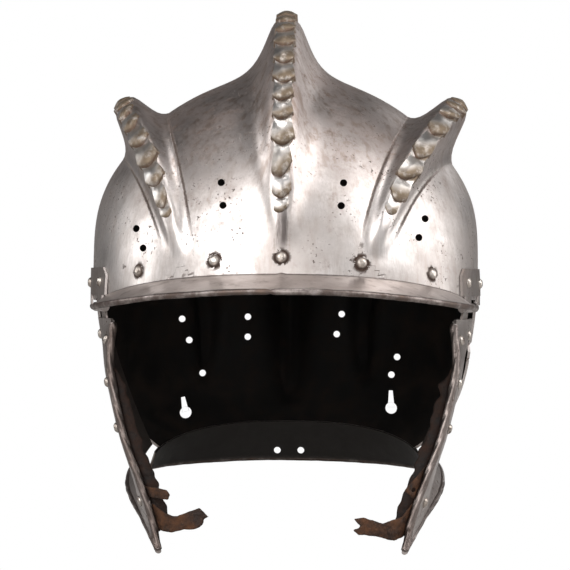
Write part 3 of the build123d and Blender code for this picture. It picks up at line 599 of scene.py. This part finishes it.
def punch_through(piece, tool, sharp):
    """Cut the punches out of a piece and keep the result as its mesh."""
    cutter = link_piece("punches", tool)
    holes = piece.modifiers.new("holes", "BOOLEAN")
    holes.operation = "DIFFERENCE"
    holes.solver = "EXACT"
    holes.use_self = True
    holes.object = cutter
    piece.data = applied(piece)
    piece.data.set_sharp_from_angle(angle=math.radians(sharp))
    bpy.data.objects.remove(cutter)


punch_through(skull, punches, 38)
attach(skull, "skull")
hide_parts("skull")


# Roped crests. Each comb was filed and punched along its crest into a row of scales, every
# one swelling from a narrow saddle to a blunt lip that hangs over the next.
rope_bright, rope_dull = (0.68, 0.65, 0.63, 1), (0.44, 0.405, 0.375, 1)
# Both colours are painted shade: the first on each scale's lower part and its side towards +X, the
# second as a shadow under its lip.
lower_side_shade_tan, under_lip_shadow_brown = (0.185, 0.142, 0.102, 1), (0.10, 0.06, 0.04, 1)


def rope_metal():
    rope = Finish("roped_crest")
    down, sideways = rope.mark("scale", "X"), rope.mark("scale", "Y")
    cloud = rope.noise(210, 6.0, 0.65)
    film = rope.noise(60, 5.0, 0.6)
    colour = rope.mix(rope.ramp(film, 0.35, 0.65), rope_bright, rope_dull)
    # Painted shade: the lower part of each scale, and more of it on the side towards +X, turns to a
    # brownish tan broken up by cloud, as if turned away from the light.
    slant = rope.plus(down, rope.times(sideways, -0.22))
    lower = rope.ramp(slant, 0.24, 0.74, 1.0, 0.0)
    painted_shade_tan = rope.times(lower, rope.ramp(cloud, 0.30, 0.55, 0.45, 1.0))
    colour = rope.mix(painted_shade_tan, colour, lower_side_shade_tan)
    # Painted shadow under each scale's overhanging lip, broken up by cloud; the metal is made less
    # metallic there too.
    lip = rope.times(rope.ramp(down, 0.0, 0.10, 1.0, 0.0), rope.ramp(cloud, 0.3, 0.6, 0.5, 1.0))
    colour = rope.mix(lip, colour, under_lip_shadow_brown)
    rough = rope.plus(rope.ramp(film, 0.3, 0.7, 0.30, 0.42), rope.times(painted_shade_tan, 0.24))
    metal = rope.minus(1.0, rope.times(lip, 0.5))
    normal = rope.bump(rope.noise(380, 5.0, 0.6), 0.16, 0.9)
    return rope.finish(colour, metal, rough, normal)


def crest_point(comb, angle):
    lean = crest_lean(comb, angle)
    return shell_point(angle, lean, dome_radius(angle, lean) + comb_rise(comb, angle))


def rope_lips(comb, front, last, pitch):
    """Angles of the lips: those of the front as they stand, then one pitch apart."""
    lips, angle, run = list(front), front[-1], 0.0
    while angle < last:
        run += (crest_point(comb, angle + 0.5) - crest_point(comb, angle)).length
        angle += 0.5
        if run >= pitch:
            lips.append(angle)
            run = 0.0
    return lips


rope_steel = rope_metal()
scale_pitch, scale_depth, scale_wide, scale_narrow = 16.0, 2.9, 5.9, 3.9
skew_across, skew_back, longest_skew = 0.07, 0.24, 1.3
lip_step, shoulder_length, shoulder_share = 0.03, 0.16, 0.84
uneven_width, uneven_height, uneven_side = 0.22, 0.15, 0.5
ripple_depth, ripple_length, ripple_drift = 0.22, 3.1, 1.7
least_depth, buried = 0.15, 0.6
chance_step, other_step = 7.31, 5.17
scale_marks = (0.0, 0.015, 0.04, 0.08, 0.13, 0.19, 0.26, 0.34,
               0.43, 0.52, 0.61, 0.70, 0.78, 0.86, 0.93, 0.985)
across_marks = (-1.25, -1.08, -1.0, -0.9, -0.76, -0.6, -0.44, -0.29, -0.15, -0.05)
across_marks = across_marks + (0.0,) + tuple(-q for q in reversed(across_marks))
for name, front, last, seed in (
    ("middle", (27.5, 30.5, 35.2, 41.8, 47.5, 51.8, 56.2, 61.5, 67.2, 73.0), 199.0, 3.0),
    ("left", (30.2, 34.0, 40.2, 47.2, 56.8, 67.0), 190.0, 17.0),
    ("right", (30.0, 33.0, 39.5, 45.8, 53.2, 61.0, 69.0), 190.0, 41.0),
):
    comb = combs[name]
    lips = rope_lips(comb, front, last, scale_pitch)
    rows = [(index, mark) for index in range(len(lips) - 1) for mark in scale_marks]
    crest = bmesh.new()
    bmesh.ops.create_grid(crest, x_segments=len(across_marks) - 1, y_segments=len(rows) - 1, size=1.0)
    scale_layer = crest.loops.layers.uv.new("scale")
    downs = {}
    for spot in crest.verts:
        q = across_marks[round((spot.co.x + 1) / 2 * (len(across_marks) - 1))]
        row = round((spot.co.y + 1) / 2 * (len(rows) - 1))
        index, t = rows[row]
        span = lips[index + 1] - lips[index]
        angle = lips[index] + span * t
        chance = noise.noise(Vector((index * chance_step + seed, 0.5, 0.5)))
        other = noise.noise(Vector((0.5, index * other_step + seed, 0.5)))
        # Where the point stands on the crest: its lip is drawn back at both sides
        skew = skew_across * q * (1 + 4 * other) + skew_back * min(q * q, longest_skew)
        angle_here = angle + skew * span * (1 - t)
        here = crest_point(comb, angle_here)
        ahead = (crest_point(comb, angle_here - 0.5) - crest_point(comb, angle_here + 0.5)).normalized()
        out = here - pole
        out = (out - ahead * out.dot(ahead)).normalized()
        side = ahead.cross(out)
        if side.x < 0:
            side = -side
        # How far the scale swells there, along and across
        size = rope_size(comb_rise(comb, angle))
        swell = max(math.sin(math.pi * min(t, 1.0) ** 0.62), 0.0) ** 0.8
        if t < lip_step:
            swell *= t / lip_step
        width = scale_narrow + (scale_wide - scale_narrow) * (1 - t) ** 0.7
        rounding = math.sin(math.pi / 2 * min(t / shoulder_length, 1.0))
        width *= shoulder_share + (1 - shoulder_share) * rounding
        width *= size ** 0.5 * (1 + uneven_width * chance)
        gable = 1 - min(abs(q), 1.0) ** 1.6
        ripple = ripple_depth * noise.noise(here / ripple_length + Vector((q * ripple_drift, 0, 0)))
        lift = 1 - swell * (0.30 + 0.70 * gable) * (1 + uneven_height * other)
        lift = min(ripple - scale_depth * size * lift, -least_depth)
        offset = q * width
        if abs(q) > 1 or row in (0, len(rows) - 1):
            lift = comb_height(comb, angle_here, offset) - comb_rise(comb, angle_here) - buried
        downs[spot.index] = (t, q)
        spot.co = (here + out * lift + side * (offset + uneven_side * chance)) * MM
    write_marks(crest, scale_layer, downs)
    face_outward(crest)
    strip = link_piece("rope_" + name, crest, rope_steel, smooth=50)
    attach(strip, "skull")


# Peak and nape flange. Turned out of the same plate, each ending in a hammered roll that
# has gone brown; the medial ridge runs on over the peak.
roll_brown, stain_brown = (0.085, 0.062, 0.053, 1), (0.17, 0.12, 0.095, 1)
root_brown, under_black = (0.06, 0.038, 0.028, 1), (0.012, 0.009, 0.007, 1)


def brim_steel(name, bright, dull):
    brim = Finish(name)
    round_way = brim.mark("brim", "X")
    film = brim.noise(32, 6.0, 0.62)
    cloud = brim.noise(110, 8.0, 0.68)
    fine = brim.noise(420, 6.0, 0.7)
    colour = brim.mix(brim.ramp(film, 0.34, 0.66), bright, dull)
    roll = brim.times(brim.ramp(round_way, 0.36, 0.42), brim.ramp(cloud, 0.26, 0.58, 0.35, 0.95))
    colour = brim.mix(roll, colour, roll_brown)
    stain = brim.times(brim.ramp(cloud, 0.52, 0.70), 0.6)
    colour = brim.mix(stain, colour, stain_brown)
    root = brim.times(brim.ramp(round_way, 0.016, 0.060, 1.0, 0.0), brim.ramp(fine, 0.3, 0.6, 0.6, 1.0))
    colour = brim.mix(root, colour, root_brown)
    below = brim.ramp(round_way, 0.70, 0.77)
    colour = brim.mix(below, colour, under_black)
    rough = brim.plus(brim.ramp(film, 0.3, 0.7, 0.30, 0.42), brim.times(roll, 0.14))
    rough = brim.plus(rough, brim.times(below, 0.25))
    metal = brim.minus(1.0, brim.times(below, 0.9))
    normal = brim.bump(brim.noise(150, 5.0, 0.6), 0.12, 0.8)
    normal = brim.bump(fine, 0.10, 0.7, normal)
    return brim.finish(colour, metal, rough, normal)


top_end, roll_end, under_end = 0.4, 0.75, 0.975
brim_columns, brim_rows, widest_turn, course_step = 260, 40, math.asin(0.995), 0.01
notch_place, notch_half, notch_depth = -4.6, 1.1, 0.55
ridge_half, ridge_end, ridge_loss = 1.7, 0.45, 0.4
roll_waves, least_roll, sag_waves = ((0.17, 5.5), (0.10, 17)), plate / 2 + 0.05, ((0.35, 26),)


def roll_outline(t, reach, roll):
    """Round the brim's section: out along the top, round the roll, and back below."""
    half = plate / 2
    neck = reach - math.sqrt(max(roll ** 2 - half ** 2, 0.0))
    if t < top_end:
        return t / top_end * neck, half
    if t < roll_end:
        start = math.pi - math.asin(half / roll)
        turn = start * (1 - 2 * (t - top_end) / (roll_end - top_end))
        return reach + roll * math.cos(turn), roll * math.sin(turn)
    if t < under_end:
        return (1 - (t - roll_end) / (under_end - roll_end)) * neck, -half
    return 0.0, half * (2 * (t - under_end) / (1 - under_end) - 1)


def close_tube(tube, sides):
    """Join the long edges of a rolled sheet and close its two ends."""
    bmesh.ops.remove_doubles(tube, verts=tube.verts, dist=merge_step)
    bmesh.ops.holes_fill(tube, edges=tube.edges, sides=sides)
    bmesh.ops.recalc_face_normals(tube, faces=tube.faces)


def brim(name, root_at, tip_at, roll, ridge, finish):
    """Sweep the section along the edge of the plate."""
    sheet = bmesh.new()
    bmesh.ops.create_grid(sheet, x_segments=brim_columns, y_segments=brim_rows, size=1.0)
    layer = sheet.loops.layers.uv.new("brim")
    lines = []
    for column in range(brim_columns + 1):
        turn = widest_turn * (2 * column / brim_columns - 1)
        root, tip = root_at(turn), tip_at(turn)
        along = (tip - root).normalized()
        course = (tip_at(turn + course_step) - tip_at(turn - course_step)
                  + root_at(turn + course_step) - root_at(turn - course_step))
        up = along.cross(course).normalized()
        lines.append((root, along, -up if up.z < 0 else up, (tip - root).length))
    marks = {}
    for spot in sheet.verts:
        root, along, up, reach = lines[round((spot.co.x + 1) / 2 * brim_columns)]
        t = (spot.co.y + 1) / 2
        tip = root + along * reach
        notch = notch_depth * math.exp(-((tip.x - notch_place) / notch_half) ** 2) if ridge else 0.0
        out, high = roll_outline(t, reach, max(roll + waves(tip, roll_waves) - notch, least_roll))
        share = out / reach
        high += waves(tip, sag_waves) * share
        if t < ridge_end:
            high += ridge * math.exp(-(tip.x / ridge_half) ** 2) * (1 - ridge_loss * share)
        marks[spot.index] = (t, tip.x / 100)
        spot.co = (root + along * out + up * high) * MM
    write_marks(sheet, layer, marks)
    close_tube(sheet, brim_rows + 4)
    piece = link_piece(name, sheet, finish, smooth=60)
    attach(piece, "skull")
    return piece


wall_inset = 0.825
peak_half, peak_root_half, nape_half, nape_root_half = 100.8, 93.6, 78.5, 75.2
peak_start, peak_run, peak_height, peak_drop = -62.8, 85.7, -3.3, 8.6
nape_start, nape_run, nape_height, nape_drop = 50, 65, -101.8, 2.6


def wall_root(x, stretch, rear):
    """A point just inside the plate, above its lower edge."""
    y = find_y(x, lambda y: edge_height(y, stretch), rear)
    outward = Vector((x, y - pole_back, 0)).normalized()
    return Vector((x, y, edge_height(y, stretch) + wall_inset)) - outward * wall_inset


def peak_root(turn):
    return wall_root(peak_root_half * math.sin(turn), brow_stretch, False)


def peak_tip(turn):
    y = peak_start - peak_run * max(math.cos(turn), 0) ** 1.15
    return Vector((peak_half * math.sin(turn), y, peak_height - peak_drop * abs(math.sin(turn)) ** 2.2))


def nape_root(turn):
    return wall_root(nape_root_half * math.sin(turn), nape_stretch, True)


def nape_tip(turn):
    return Vector((nape_half * math.sin(turn), nape_start + nape_run * math.cos(turn),
                   nape_height - nape_drop * math.sin(turn) ** 2))


peak_steel = brim_steel("peak_steel", (0.64, 0.58, 0.555, 1), (0.46, 0.40, 0.375, 1))
nape_steel = brim_steel("nape_steel", (0.44, 0.41, 0.38, 1), (0.28, 0.25, 0.22, 1))
brim("peak", peak_root, peak_tip, 1.6, 0.55, peak_steel)
nape = brim("nape_flange", nape_root, nape_tip, 1.35, 0.0, nape_steel)
nape_hole_x, nape_hole_y, nape_hole_z, nape_hole_radius = 6.9, 111, -97, 2.0
nape_punches = bmesh.new()
for x in (-nape_hole_x, nape_hole_x):
    pin(nape_punches, (x, nape_hole_y, nape_hole_z), nape_hole_radius, brow_depth)
punch_through(nape, nape_punches, 60)


# Rivets, washers and hinges. Round-headed iron rivets, rubbed bright on top and rusty round
# their rims; the hinge leaves are steel straps cut by shears, filmed with brown and pitted.
head_bright, head_dull = (0.56, 0.52, 0.48, 1), (0.38, 0.33, 0.29, 1)
rim_brown = (0.050, 0.028, 0.018, 1)
head_height, bare_inner, bare_outer = 1.4, 1.7, 3.0


def riveted_iron(name, heads=()):
    iron = Finish(name)
    cloud = iron.noise(260, 6.0, 0.65)
    film = iron.noise(90, 4.0, 0.6)
    colour = iron.mix(iron.ramp(film, 0.35, 0.65), head_bright, head_dull)
    rust = iron.ramp(cloud, 0.50, 0.66)
    if heads:
        rim = iron.minus(1.0, iron.near_any([(head, bare_inner, bare_outer) for head in heads]))
        rust = iron.larger(iron.times(rust, 0.7), iron.times(rim, 0.9))
    colour = iron.mix(rust, colour, rim_brown)
    rough = iron.plus(iron.ramp(film, 0.3, 0.7, 0.26, 0.38), iron.times(rust, 0.30))
    metal = iron.minus(1.0, iron.times(rust, 0.75))
    normal = iron.bump(iron.noise(520, 5.0, 0.65), 0.12, 0.9)
    return iron.finish(colour, metal, rough, normal)


def dress(node, material):
    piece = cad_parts[node]
    piece.data.materials.clear()
    piece.data.materials.append(material)


tops = []
for spot in rivet_heads:
    outward = Vector((spot[0], spot[1] - pole_back, 0)).normalized()
    tops.append(Vector(spot) + outward * head_height)
dress("brow_rivets", riveted_iron("brow_rivet_iron", tops))
rivet_iron = riveted_iron("rivet_iron")
dress("brow_rivet_washers", rivet_iron)
leaf_bright, leaf_dull = (0.36, 0.325, 0.31, 1), (0.22, 0.19, 0.175, 1)
leaf_steel = worn_steel("leaf_steel", leaf_bright, leaf_dull, brown_film, 0.8, polish=0.40)
for side in ("left", "right"):
    dress(side + "_upper_leaf_rivets", rivet_iron)
    dress(side + "_hinge_upper_leaf", leaf_steel)
    dress(side + "_hinge_pin", leaf_steel)


# Cheekpieces. Raised plates that hang on the hinges, bright outside and black inside, with a
# turned front edge and a flange over the neck whose edges are both filed like rope.
cheek_bright, cheek_dull = (0.44, 0.40, 0.38, 1), (0.29, 0.255, 0.24, 1)
cheek_brown, inner_paint = (0.19, 0.135, 0.105, 1), (0.030, 0.021, 0.016, 1)


def cheek_metal(name, side):
    """Steel that turns to black paint where the plate faces inward."""
    cheek = worn_steel(name, cheek_bright, cheek_dull, cheek_brown, 1.4)
    nodes, links = cheek.node_tree.nodes, cheek.node_tree.links
    shader = nodes["Principled BSDF"]
    facing = nodes.new("ShaderNodeSeparateXYZ")
    links.new(nodes["Texture Coordinate"].outputs["Normal"], facing.inputs[0])
    inner = nodes.new("ShaderNodeMapRange")
    links.new(facing.outputs["X"], inner.inputs["Value"])
    inner.inputs["From Min"].default_value = -0.20 * side
    inner.inputs["From Max"].default_value = -0.45 * side
    for socket, dark in (("Base Color", inner_paint), ("Metallic", 0.0), ("Roughness", 0.7)):
        before = shader.inputs[socket].links[0].from_socket
        mix = nodes.new("ShaderNodeMix")
        mix.data_type = "RGBA" if socket == "Base Color" else "FLOAT"
        first, second, result = (6, 7, 2) if socket == "Base Color" else (2, 3, 0)
        links.new(inner.outputs["Result"], mix.inputs[0])
        links.new(before, mix.inputs[first])
        mix.inputs[second].default_value = dark
        links.new(mix.outputs[result], shader.inputs[socket])
    return cheek


def course_point(points, share):
    """A smooth way through the points, from the first at 0 to the last at 1."""
    spans = len(points) - 1
    k = min(int(share * spans), spans - 1)
    t = share * spans - k
    p1, p2 = Vector(points[k]), Vector(points[k + 1])
    p0 = Vector(points[k - 1]) if k else p1 * 2 - p2
    p3 = Vector(points[k + 2]) if k + 2 <= spans else p2 * 2 - p1
    return 0.5 * (2 * p1 + (p2 - p0) * t + (2 * p0 - 5 * p1 + 4 * p2 - p3) * t ** 2
                  + (3 * p1 - p0 - 3 * p2 + p3) * t ** 3)


# The ways of the front edge and of the flange's edge, and how far out the front edge is bowed
front_course = ((90.4, -60.6, -20.3), (87.0, -63.3, -35.2), (83.3, -66.1, -49.9),
                (79.4, -68.9, -64.6), (75.5, -71.6, -79.3), (71.7, -74.2, -94.0),
                (68.3, -76.6, -108.9), (65.3, -78.7, -123.9), (64.1, -81.6, -131.2),
                (62.9, -84.3, -138.1))
flange_course = ((62.8, -84.5, -138.5), (66.2, -75.0, -133.0), (73.0, -56.0, -124.0),
                 (81.5, -32.0, -115.5), (86.0, -2.0, -107.0), (82.0, 40.0, -98.0))
bow = [(out, 0, 0) for out in (0, 5.9, 7.6, 7.8, 5.3, 2.4, 1.2)]
bow_top, bow_length, bow_reach = -22, 120, 45
sides = {"left": 1, "right": -1}
edge_forward, edge_inward, inner_start, inner_run = 0.178, 0.245, 26, 24


def bowed(place, side):
    """Carry a point of a cheekpiece outward as far as its front edge is bowed at that height."""
    edge_x, edge_y, edge_z = front_course[0]
    depth = course_point(bow, within((bow_top - place.z) / bow_length)).x
    drop = place.z - edge_z
    behind = within((place.y - edge_y - edge_forward * drop) / bow_reach)
    inside = within((abs(place.x) - edge_x - edge_inward * drop + inner_start) / inner_run)
    ease = (1 - behind ** 2 * (3 - 2 * behind)) * inside ** 2 * (3 - 2 * inside)
    return place + Vector((side * depth * ease, 0, 0))


def bowed_spot(place, side):
    """The bowed place, in metres, of a point given for the left side."""
    return bowed(Vector((place.x * side, place.y, place.z)), side) * MM


def merged(node):
    """A copy of a solid's mesh with its loose corners joined."""
    cut = bmesh.new()
    cut.from_mesh(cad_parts[node].data)
    bmesh.ops.remove_doubles(cut, verts=cut.verts, dist=1e-6)
    return cut


longest_span, halvings = 4, 5


def bowed_copy(node, body, material, side, smooth=35):
    """A merged copy of a solid of the cheekpiece that follows the bow."""
    cut = merged(node)
    for _ in range(halvings):
        spans = [edge for edge in cut.edges if edge.calc_length() > longest_span * MM]
        if spans:
            bmesh.ops.subdivide_edges(cut, edges=spans, cuts=1)
            bmesh.ops.triangulate(cut, faces=cut.faces)
    for spot in cut.verts:
        spot.co = bowed(spot.co / MM, side) * MM
    bmesh.ops.recalc_face_normals(cut, faces=cut.faces)
    piece = link_piece(node + "_worn", cut, material, smooth=smooth)
    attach(piece, body)
    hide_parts(node)


edge_pale, edge_deep = (0.24, 0.205, 0.19, 1), (0.12, 0.096, 0.086, 1)
edge_brown = (0.06, 0.038, 0.030, 1)
edge_steel = worn_steel("roped_edge_steel", edge_pale, edge_deep, edge_brown, 1.4)
edge_sides, edge_rings, end_taper = 24, 220, 0.2
strands, strand_lead, strand_wander, edge_step = 3, 46.0, 0.6, 0.002
dent_waves = ((0.12, 4),)


def roped_edge(name, body, points, side, low, high):
    """A turned edge filed into long twisted strands."""
    edge = bmesh.new()
    bmesh.ops.create_grid(edge, x_segments=edge_sides, y_segments=edge_rings, size=1.0)
    run, before, rings = 0.0, None, []
    for ring in range(edge_rings + 1):
        share = ring / edge_rings
        here = course_point(points, share)
        ahead = course_point(points, min(share + edge_step, 1))
        along = (ahead - course_point(points, max(share - edge_step, 0))).normalized()
        run += (here - before).length if before else 0.0
        before = here
        across = along.cross(Vector((1, 0, 0))).normalized()
        rings.append((here, across, along.cross(across), run))
    for spot in edge.verts:
        ring = round((spot.co.y + 1) / 2 * edge_rings)
        here, across, outward, run = rings[ring]
        phi = spot.co.x * math.pi
        uneven = strand_wander * noise.noise(here / 9)
        strand = abs(math.sin(strands / 2 * (phi - 2 * math.pi * run / strand_lead + uneven))) ** 0.6
        radius = low + (high - low) * strand + waves(here, dent_waves)
        if ring in (0, edge_rings):
            radius *= end_taper
        spot.co = bowed_spot(here + (across * math.cos(phi) + outward * math.sin(phi)) * radius, side)
    close_tube(edge, edge_sides + 6)
    piece = link_piece(name, edge, edge_steel, smooth=60)
    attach(piece, body)


for side, sign in sides.items():
    body = side + "_cheek"
    cheek_steel = cheek_metal(body + "_steel", sign)
    bowed_copy(side + "_cheekpiece", body, cheek_steel, sign, smooth=16)
    bowed_copy(side + "_hinge_lower_leaf", body, leaf_steel, sign)
    for node in ("lower_leaf_rivets", "lining_rivets", "strap_rivet"):
        bowed_copy(side + "_" + node, body, rivet_iron, sign)
    roped_edge(side + "_front_edge", body, front_course, sign, 1.70, 2.15)
    roped_edge(side + "_flange_edge", body, flange_course, sign, 1.45, 1.72)


# Leather. Strips of the lost lining and the ends of the chin straps: thick calf, dried dark
# and hard, curled, split at the surface and crumbling at its cut edges.
def old_leather(name, deep, pale, split):
    hide = Finish(name)
    cloud = hide.noise(120, 8.0, 0.65)
    grain = hide.noise(900, 4.0, 0.6)
    colour = hide.mix(hide.ramp(cloud, 0.35, 0.68), deep, pale)
    colour = hide.mix(hide.ramp(grain, 0.55, 0.75, 0.0, 0.5), colour, split)
    distance, _ = hide.spots(520)
    cracks = hide.ramp(distance, 0.35, 0.75)
    rough = hide.ramp(cloud, 0.3, 0.7, 0.55, 0.8)
    hide.shader.inputs["Specular IOR Level"].default_value = 0.22
    hide.shader.inputs["Sheen Weight"].default_value = 0.03
    normal = hide.bump(cracks, 0.12, 0.7)
    normal = hide.bump(hide.noise(260, 6.0, 0.7), 0.35, 0.9, normal)
    return hide.finish(colour, 0.0, rough, normal)


hide_deep, hide_pale = (0.016, 0.0070, 0.0036, 1), (0.080, 0.033, 0.014, 1)
lining_deep, lining_pale = (0.006, 0.0030, 0.0020, 1), (0.024, 0.0105, 0.006, 1)
hide_split, lining_split = (0.13, 0.064, 0.032, 1), (0.040, 0.019, 0.011, 1)
hide = old_leather("strap_leather", hide_deep, hide_pale, hide_split)
lining = old_leather("lining_leather", lining_deep, lining_pale, lining_split)
leather_step, smoothings, curl_length = 0.5, 3, 11
wear_waves = ((0.30, 2.6), (0.14, 1.1))
for node, curl in (("left_lining_strip", 0.25), ("right_lining_strip", 0.25), ("left_chin_strap", 0.55),
                   ("right_chin_strap", 0.55), ("left_strap_tab", 0.45), ("right_strap_stub", 0.55)):
    side = node.split("_")[0]
    cut = merged(node)
    bmesh.ops.recalc_face_normals(cut, faces=cut.faces)
    leather = link_piece(node + "_leather", cut, lining if "lining" in node else hide, smooth=180)
    fine = leather.modifiers.new("fine", "REMESH")
    fine.mode = "VOXEL"
    fine.voxel_size = leather_step * MM
    fine.use_smooth_shade = True
    worked = bmesh.new()
    worked.from_mesh(applied(leather))
    for _ in range(smoothings):
        bmesh.ops.smooth_vert(worked, verts=worked.verts, factor=0.5,
                              use_axis_x=True, use_axis_y=True, use_axis_z=True)
    worked.normal_update()
    for spot in worked.verts:
        place = spot.co / MM
        wave = place / curl_length
        wear = waves(place, wear_waves)
        bend = Vector((noise.noise(wave), noise.noise(wave + Vector((9, 0, 0))),
                       noise.noise(wave + Vector((0, 9, 0)))))
        spot.co = bowed(place + spot.normal * wear + bend * curl, sides[side]) * MM
    worked.to_mesh(leather.data)
    worked.free()
    leather.data.shade_smooth()
    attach(leather, side + "_cheek")
    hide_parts(node)

# The torn lip of the lining strip still stands in from each front edge: where it starts and how
# far it runs, how wide it is and grows, and how fast it narrows at its ends
lip_start, lip_run, lip_taper = 0.16, 0.70, 12
lip_width, lip_growth, lip_ragged = 2.6, 1.7, 0.9
lip_inset, lip_back, lip_slant, lip_roundness = 0.9, 2.4, 0.25, 0.85
lip_half_thick, lip_crumbling, lip_sides, lip_rings = 1.05, 0.35, 20, 150
for side, sign in sides.items():
    lip = bmesh.new()
    bmesh.ops.create_grid(lip, x_segments=lip_sides, y_segments=lip_rings, size=1.0)
    for spot in lip.verts:
        share = lip_start + lip_run * (spot.co.y + 1) / 2
        here = course_point(front_course, share)
        phi = spot.co.x * math.pi
        ragged = lip_ragged * noise.noise(Vector((share * 23, 0, sign)))
        wide = lip_width + lip_growth * (share - lip_start) / lip_run + ragged
        from_end = min(share - lip_start, lip_start + lip_run - share) + 0.005
        wide *= min(1.0, from_end * lip_taper)
        thick = lip_half_thick + 0.3 * noise.noise(here / 5)
        inward = Vector((-wide * (1 + lip_roundness * math.cos(phi)) - lip_inset,
                         lip_back + thick * math.sin(phi) + wide * lip_slant, 0))
        crumbs = Vector((noise.noise(here / 3 + Vector((phi, 0, 0))), noise.noise(here / 3), 0))
        inward += lip_crumbling * crumbs
        spot.co = bowed_spot(here + inward, sign)
    close_tube(lip, lip_sides + 10)
    piece = link_piece(side + "_lining_lip", lip, lining, smooth=180)
    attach(piece, side + "_cheek")
    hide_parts(side + "_lining_strip")


# Floor and light. A plain pale sweep that the camera sees as white, a world that is dimmer
# behind and overhead, and seven soft lamps: two large ones from the front, the rest to lift
# the sides, the combs and the back.
floor_gap = 0.0005


def seen_white(tree, plain, white, output):
    """Let the camera see white where everything else meets the plain surface."""
    ray = tree.nodes.new("ShaderNodeLightPath")
    blend = tree.nodes.new("ShaderNodeMixShader")
    white.inputs["Color"].default_value = (1, 1, 1, 1)
    tree.links.new(ray.outputs["Is Camera Ray"], blend.inputs[0])
    tree.links.new(plain.outputs[0], blend.inputs[1])
    tree.links.new(white.outputs[0], blend.inputs[2])
    tree.links.new(blend.outputs[0], tree.nodes[output].inputs["Surface"])


floor = bmesh.new()
bmesh.ops.create_grid(floor, x_segments=2, y_segments=2, size=6.0)
bmesh.ops.translate(floor, verts=floor.verts, vec=(0, 0, solid_box[0][2] - floor_gap))
pale = Finish("pale_floor")
pale.shader.inputs["Base Color"].default_value = (0.55, 0.54, 0.53, 1)
pale.shader.inputs["Roughness"].default_value = 0.9
glow = pale.nodes.new("ShaderNodeEmission")
seen_white(pale.material.node_tree, pale.shader, glow, "Material Output")
link_piece("floor", floor, pale.material)

world = bpy.data.worlds.new("studio")
bpy.context.scene.world = world
world.use_nodes = True
sky = world.node_tree
backdrop = sky.nodes["Background"]
way = sky.nodes.new("ShaderNodeTexCoord")
parts = sky.nodes.new("ShaderNodeSeparateXYZ")
both = sky.nodes.new("ShaderNodeMath")
both.operation = "MULTIPLY"
sky.links.new(way.outputs["Generated"], parts.inputs[0])
for slot, axis, limits in ((0, "Y", (-0.9, 0.3, 0.52, 0.08)), (1, "Z", (0.25, 0.85, 1.0, 0.35))):
    dim = smooth_ramp(sky.nodes, *limits)
    sky.links.new(parts.outputs[axis], dim.inputs["Value"])
    sky.links.new(dim.outputs["Result"], both.inputs[slot])
sky.links.new(both.outputs[0], backdrop.inputs["Strength"])
backdrop.inputs["Color"].default_value = (1.0, 0.985, 0.98, 1)
seen_white(sky, backdrop, sky.nodes.new("ShaderNodeBackground"), "World Output")


def lamp(name, place, aim, width, height, watts):
    data = bpy.data.lights.new(name, "AREA")
    data.shape = "RECTANGLE"
    data.size, data.size_y = width, height
    data.energy = watts
    light = bpy.data.objects.new(name, data)
    light.location = place
    light.rotation_euler = (Vector(aim) - Vector(place)).to_track_quat("-Z", "Y").to_euler()
    bpy.context.scene.collection.objects.link(light)


lamp("key", (-0.62, -1.28, 0.78), (0, 0, 0.02), 1.2, 1.2, 19.0)
lamp("fill", (1.14, -0.54, 1.02), (0, 0, 0.02), 1.0, 1.1, 16.0)
lamp("front", (0.10, -1.75, 0.06), (0, 0, 0.0), 1.2, 0.6, 4.8)
lamp("right", (1.55, 0.20, 0.36), (0, 0, 0.02), 0.8, 1.1, 9.5)
lamp("left", (-1.50, 0.02, 0.52), (0, 0, 0.02), 0.6, 0.9, 7.5)
lamp("over", (0.0, -0.15, 1.3), (0, 0, 0), 0.5, 0.35, 4.5)
lamp("rear", (0.85, 1.25, 0.80), (0, 0, 0.02), 0.6, 0.6, 1.5)
bpy.context.scene.view_settings.view_transform = "Standard"
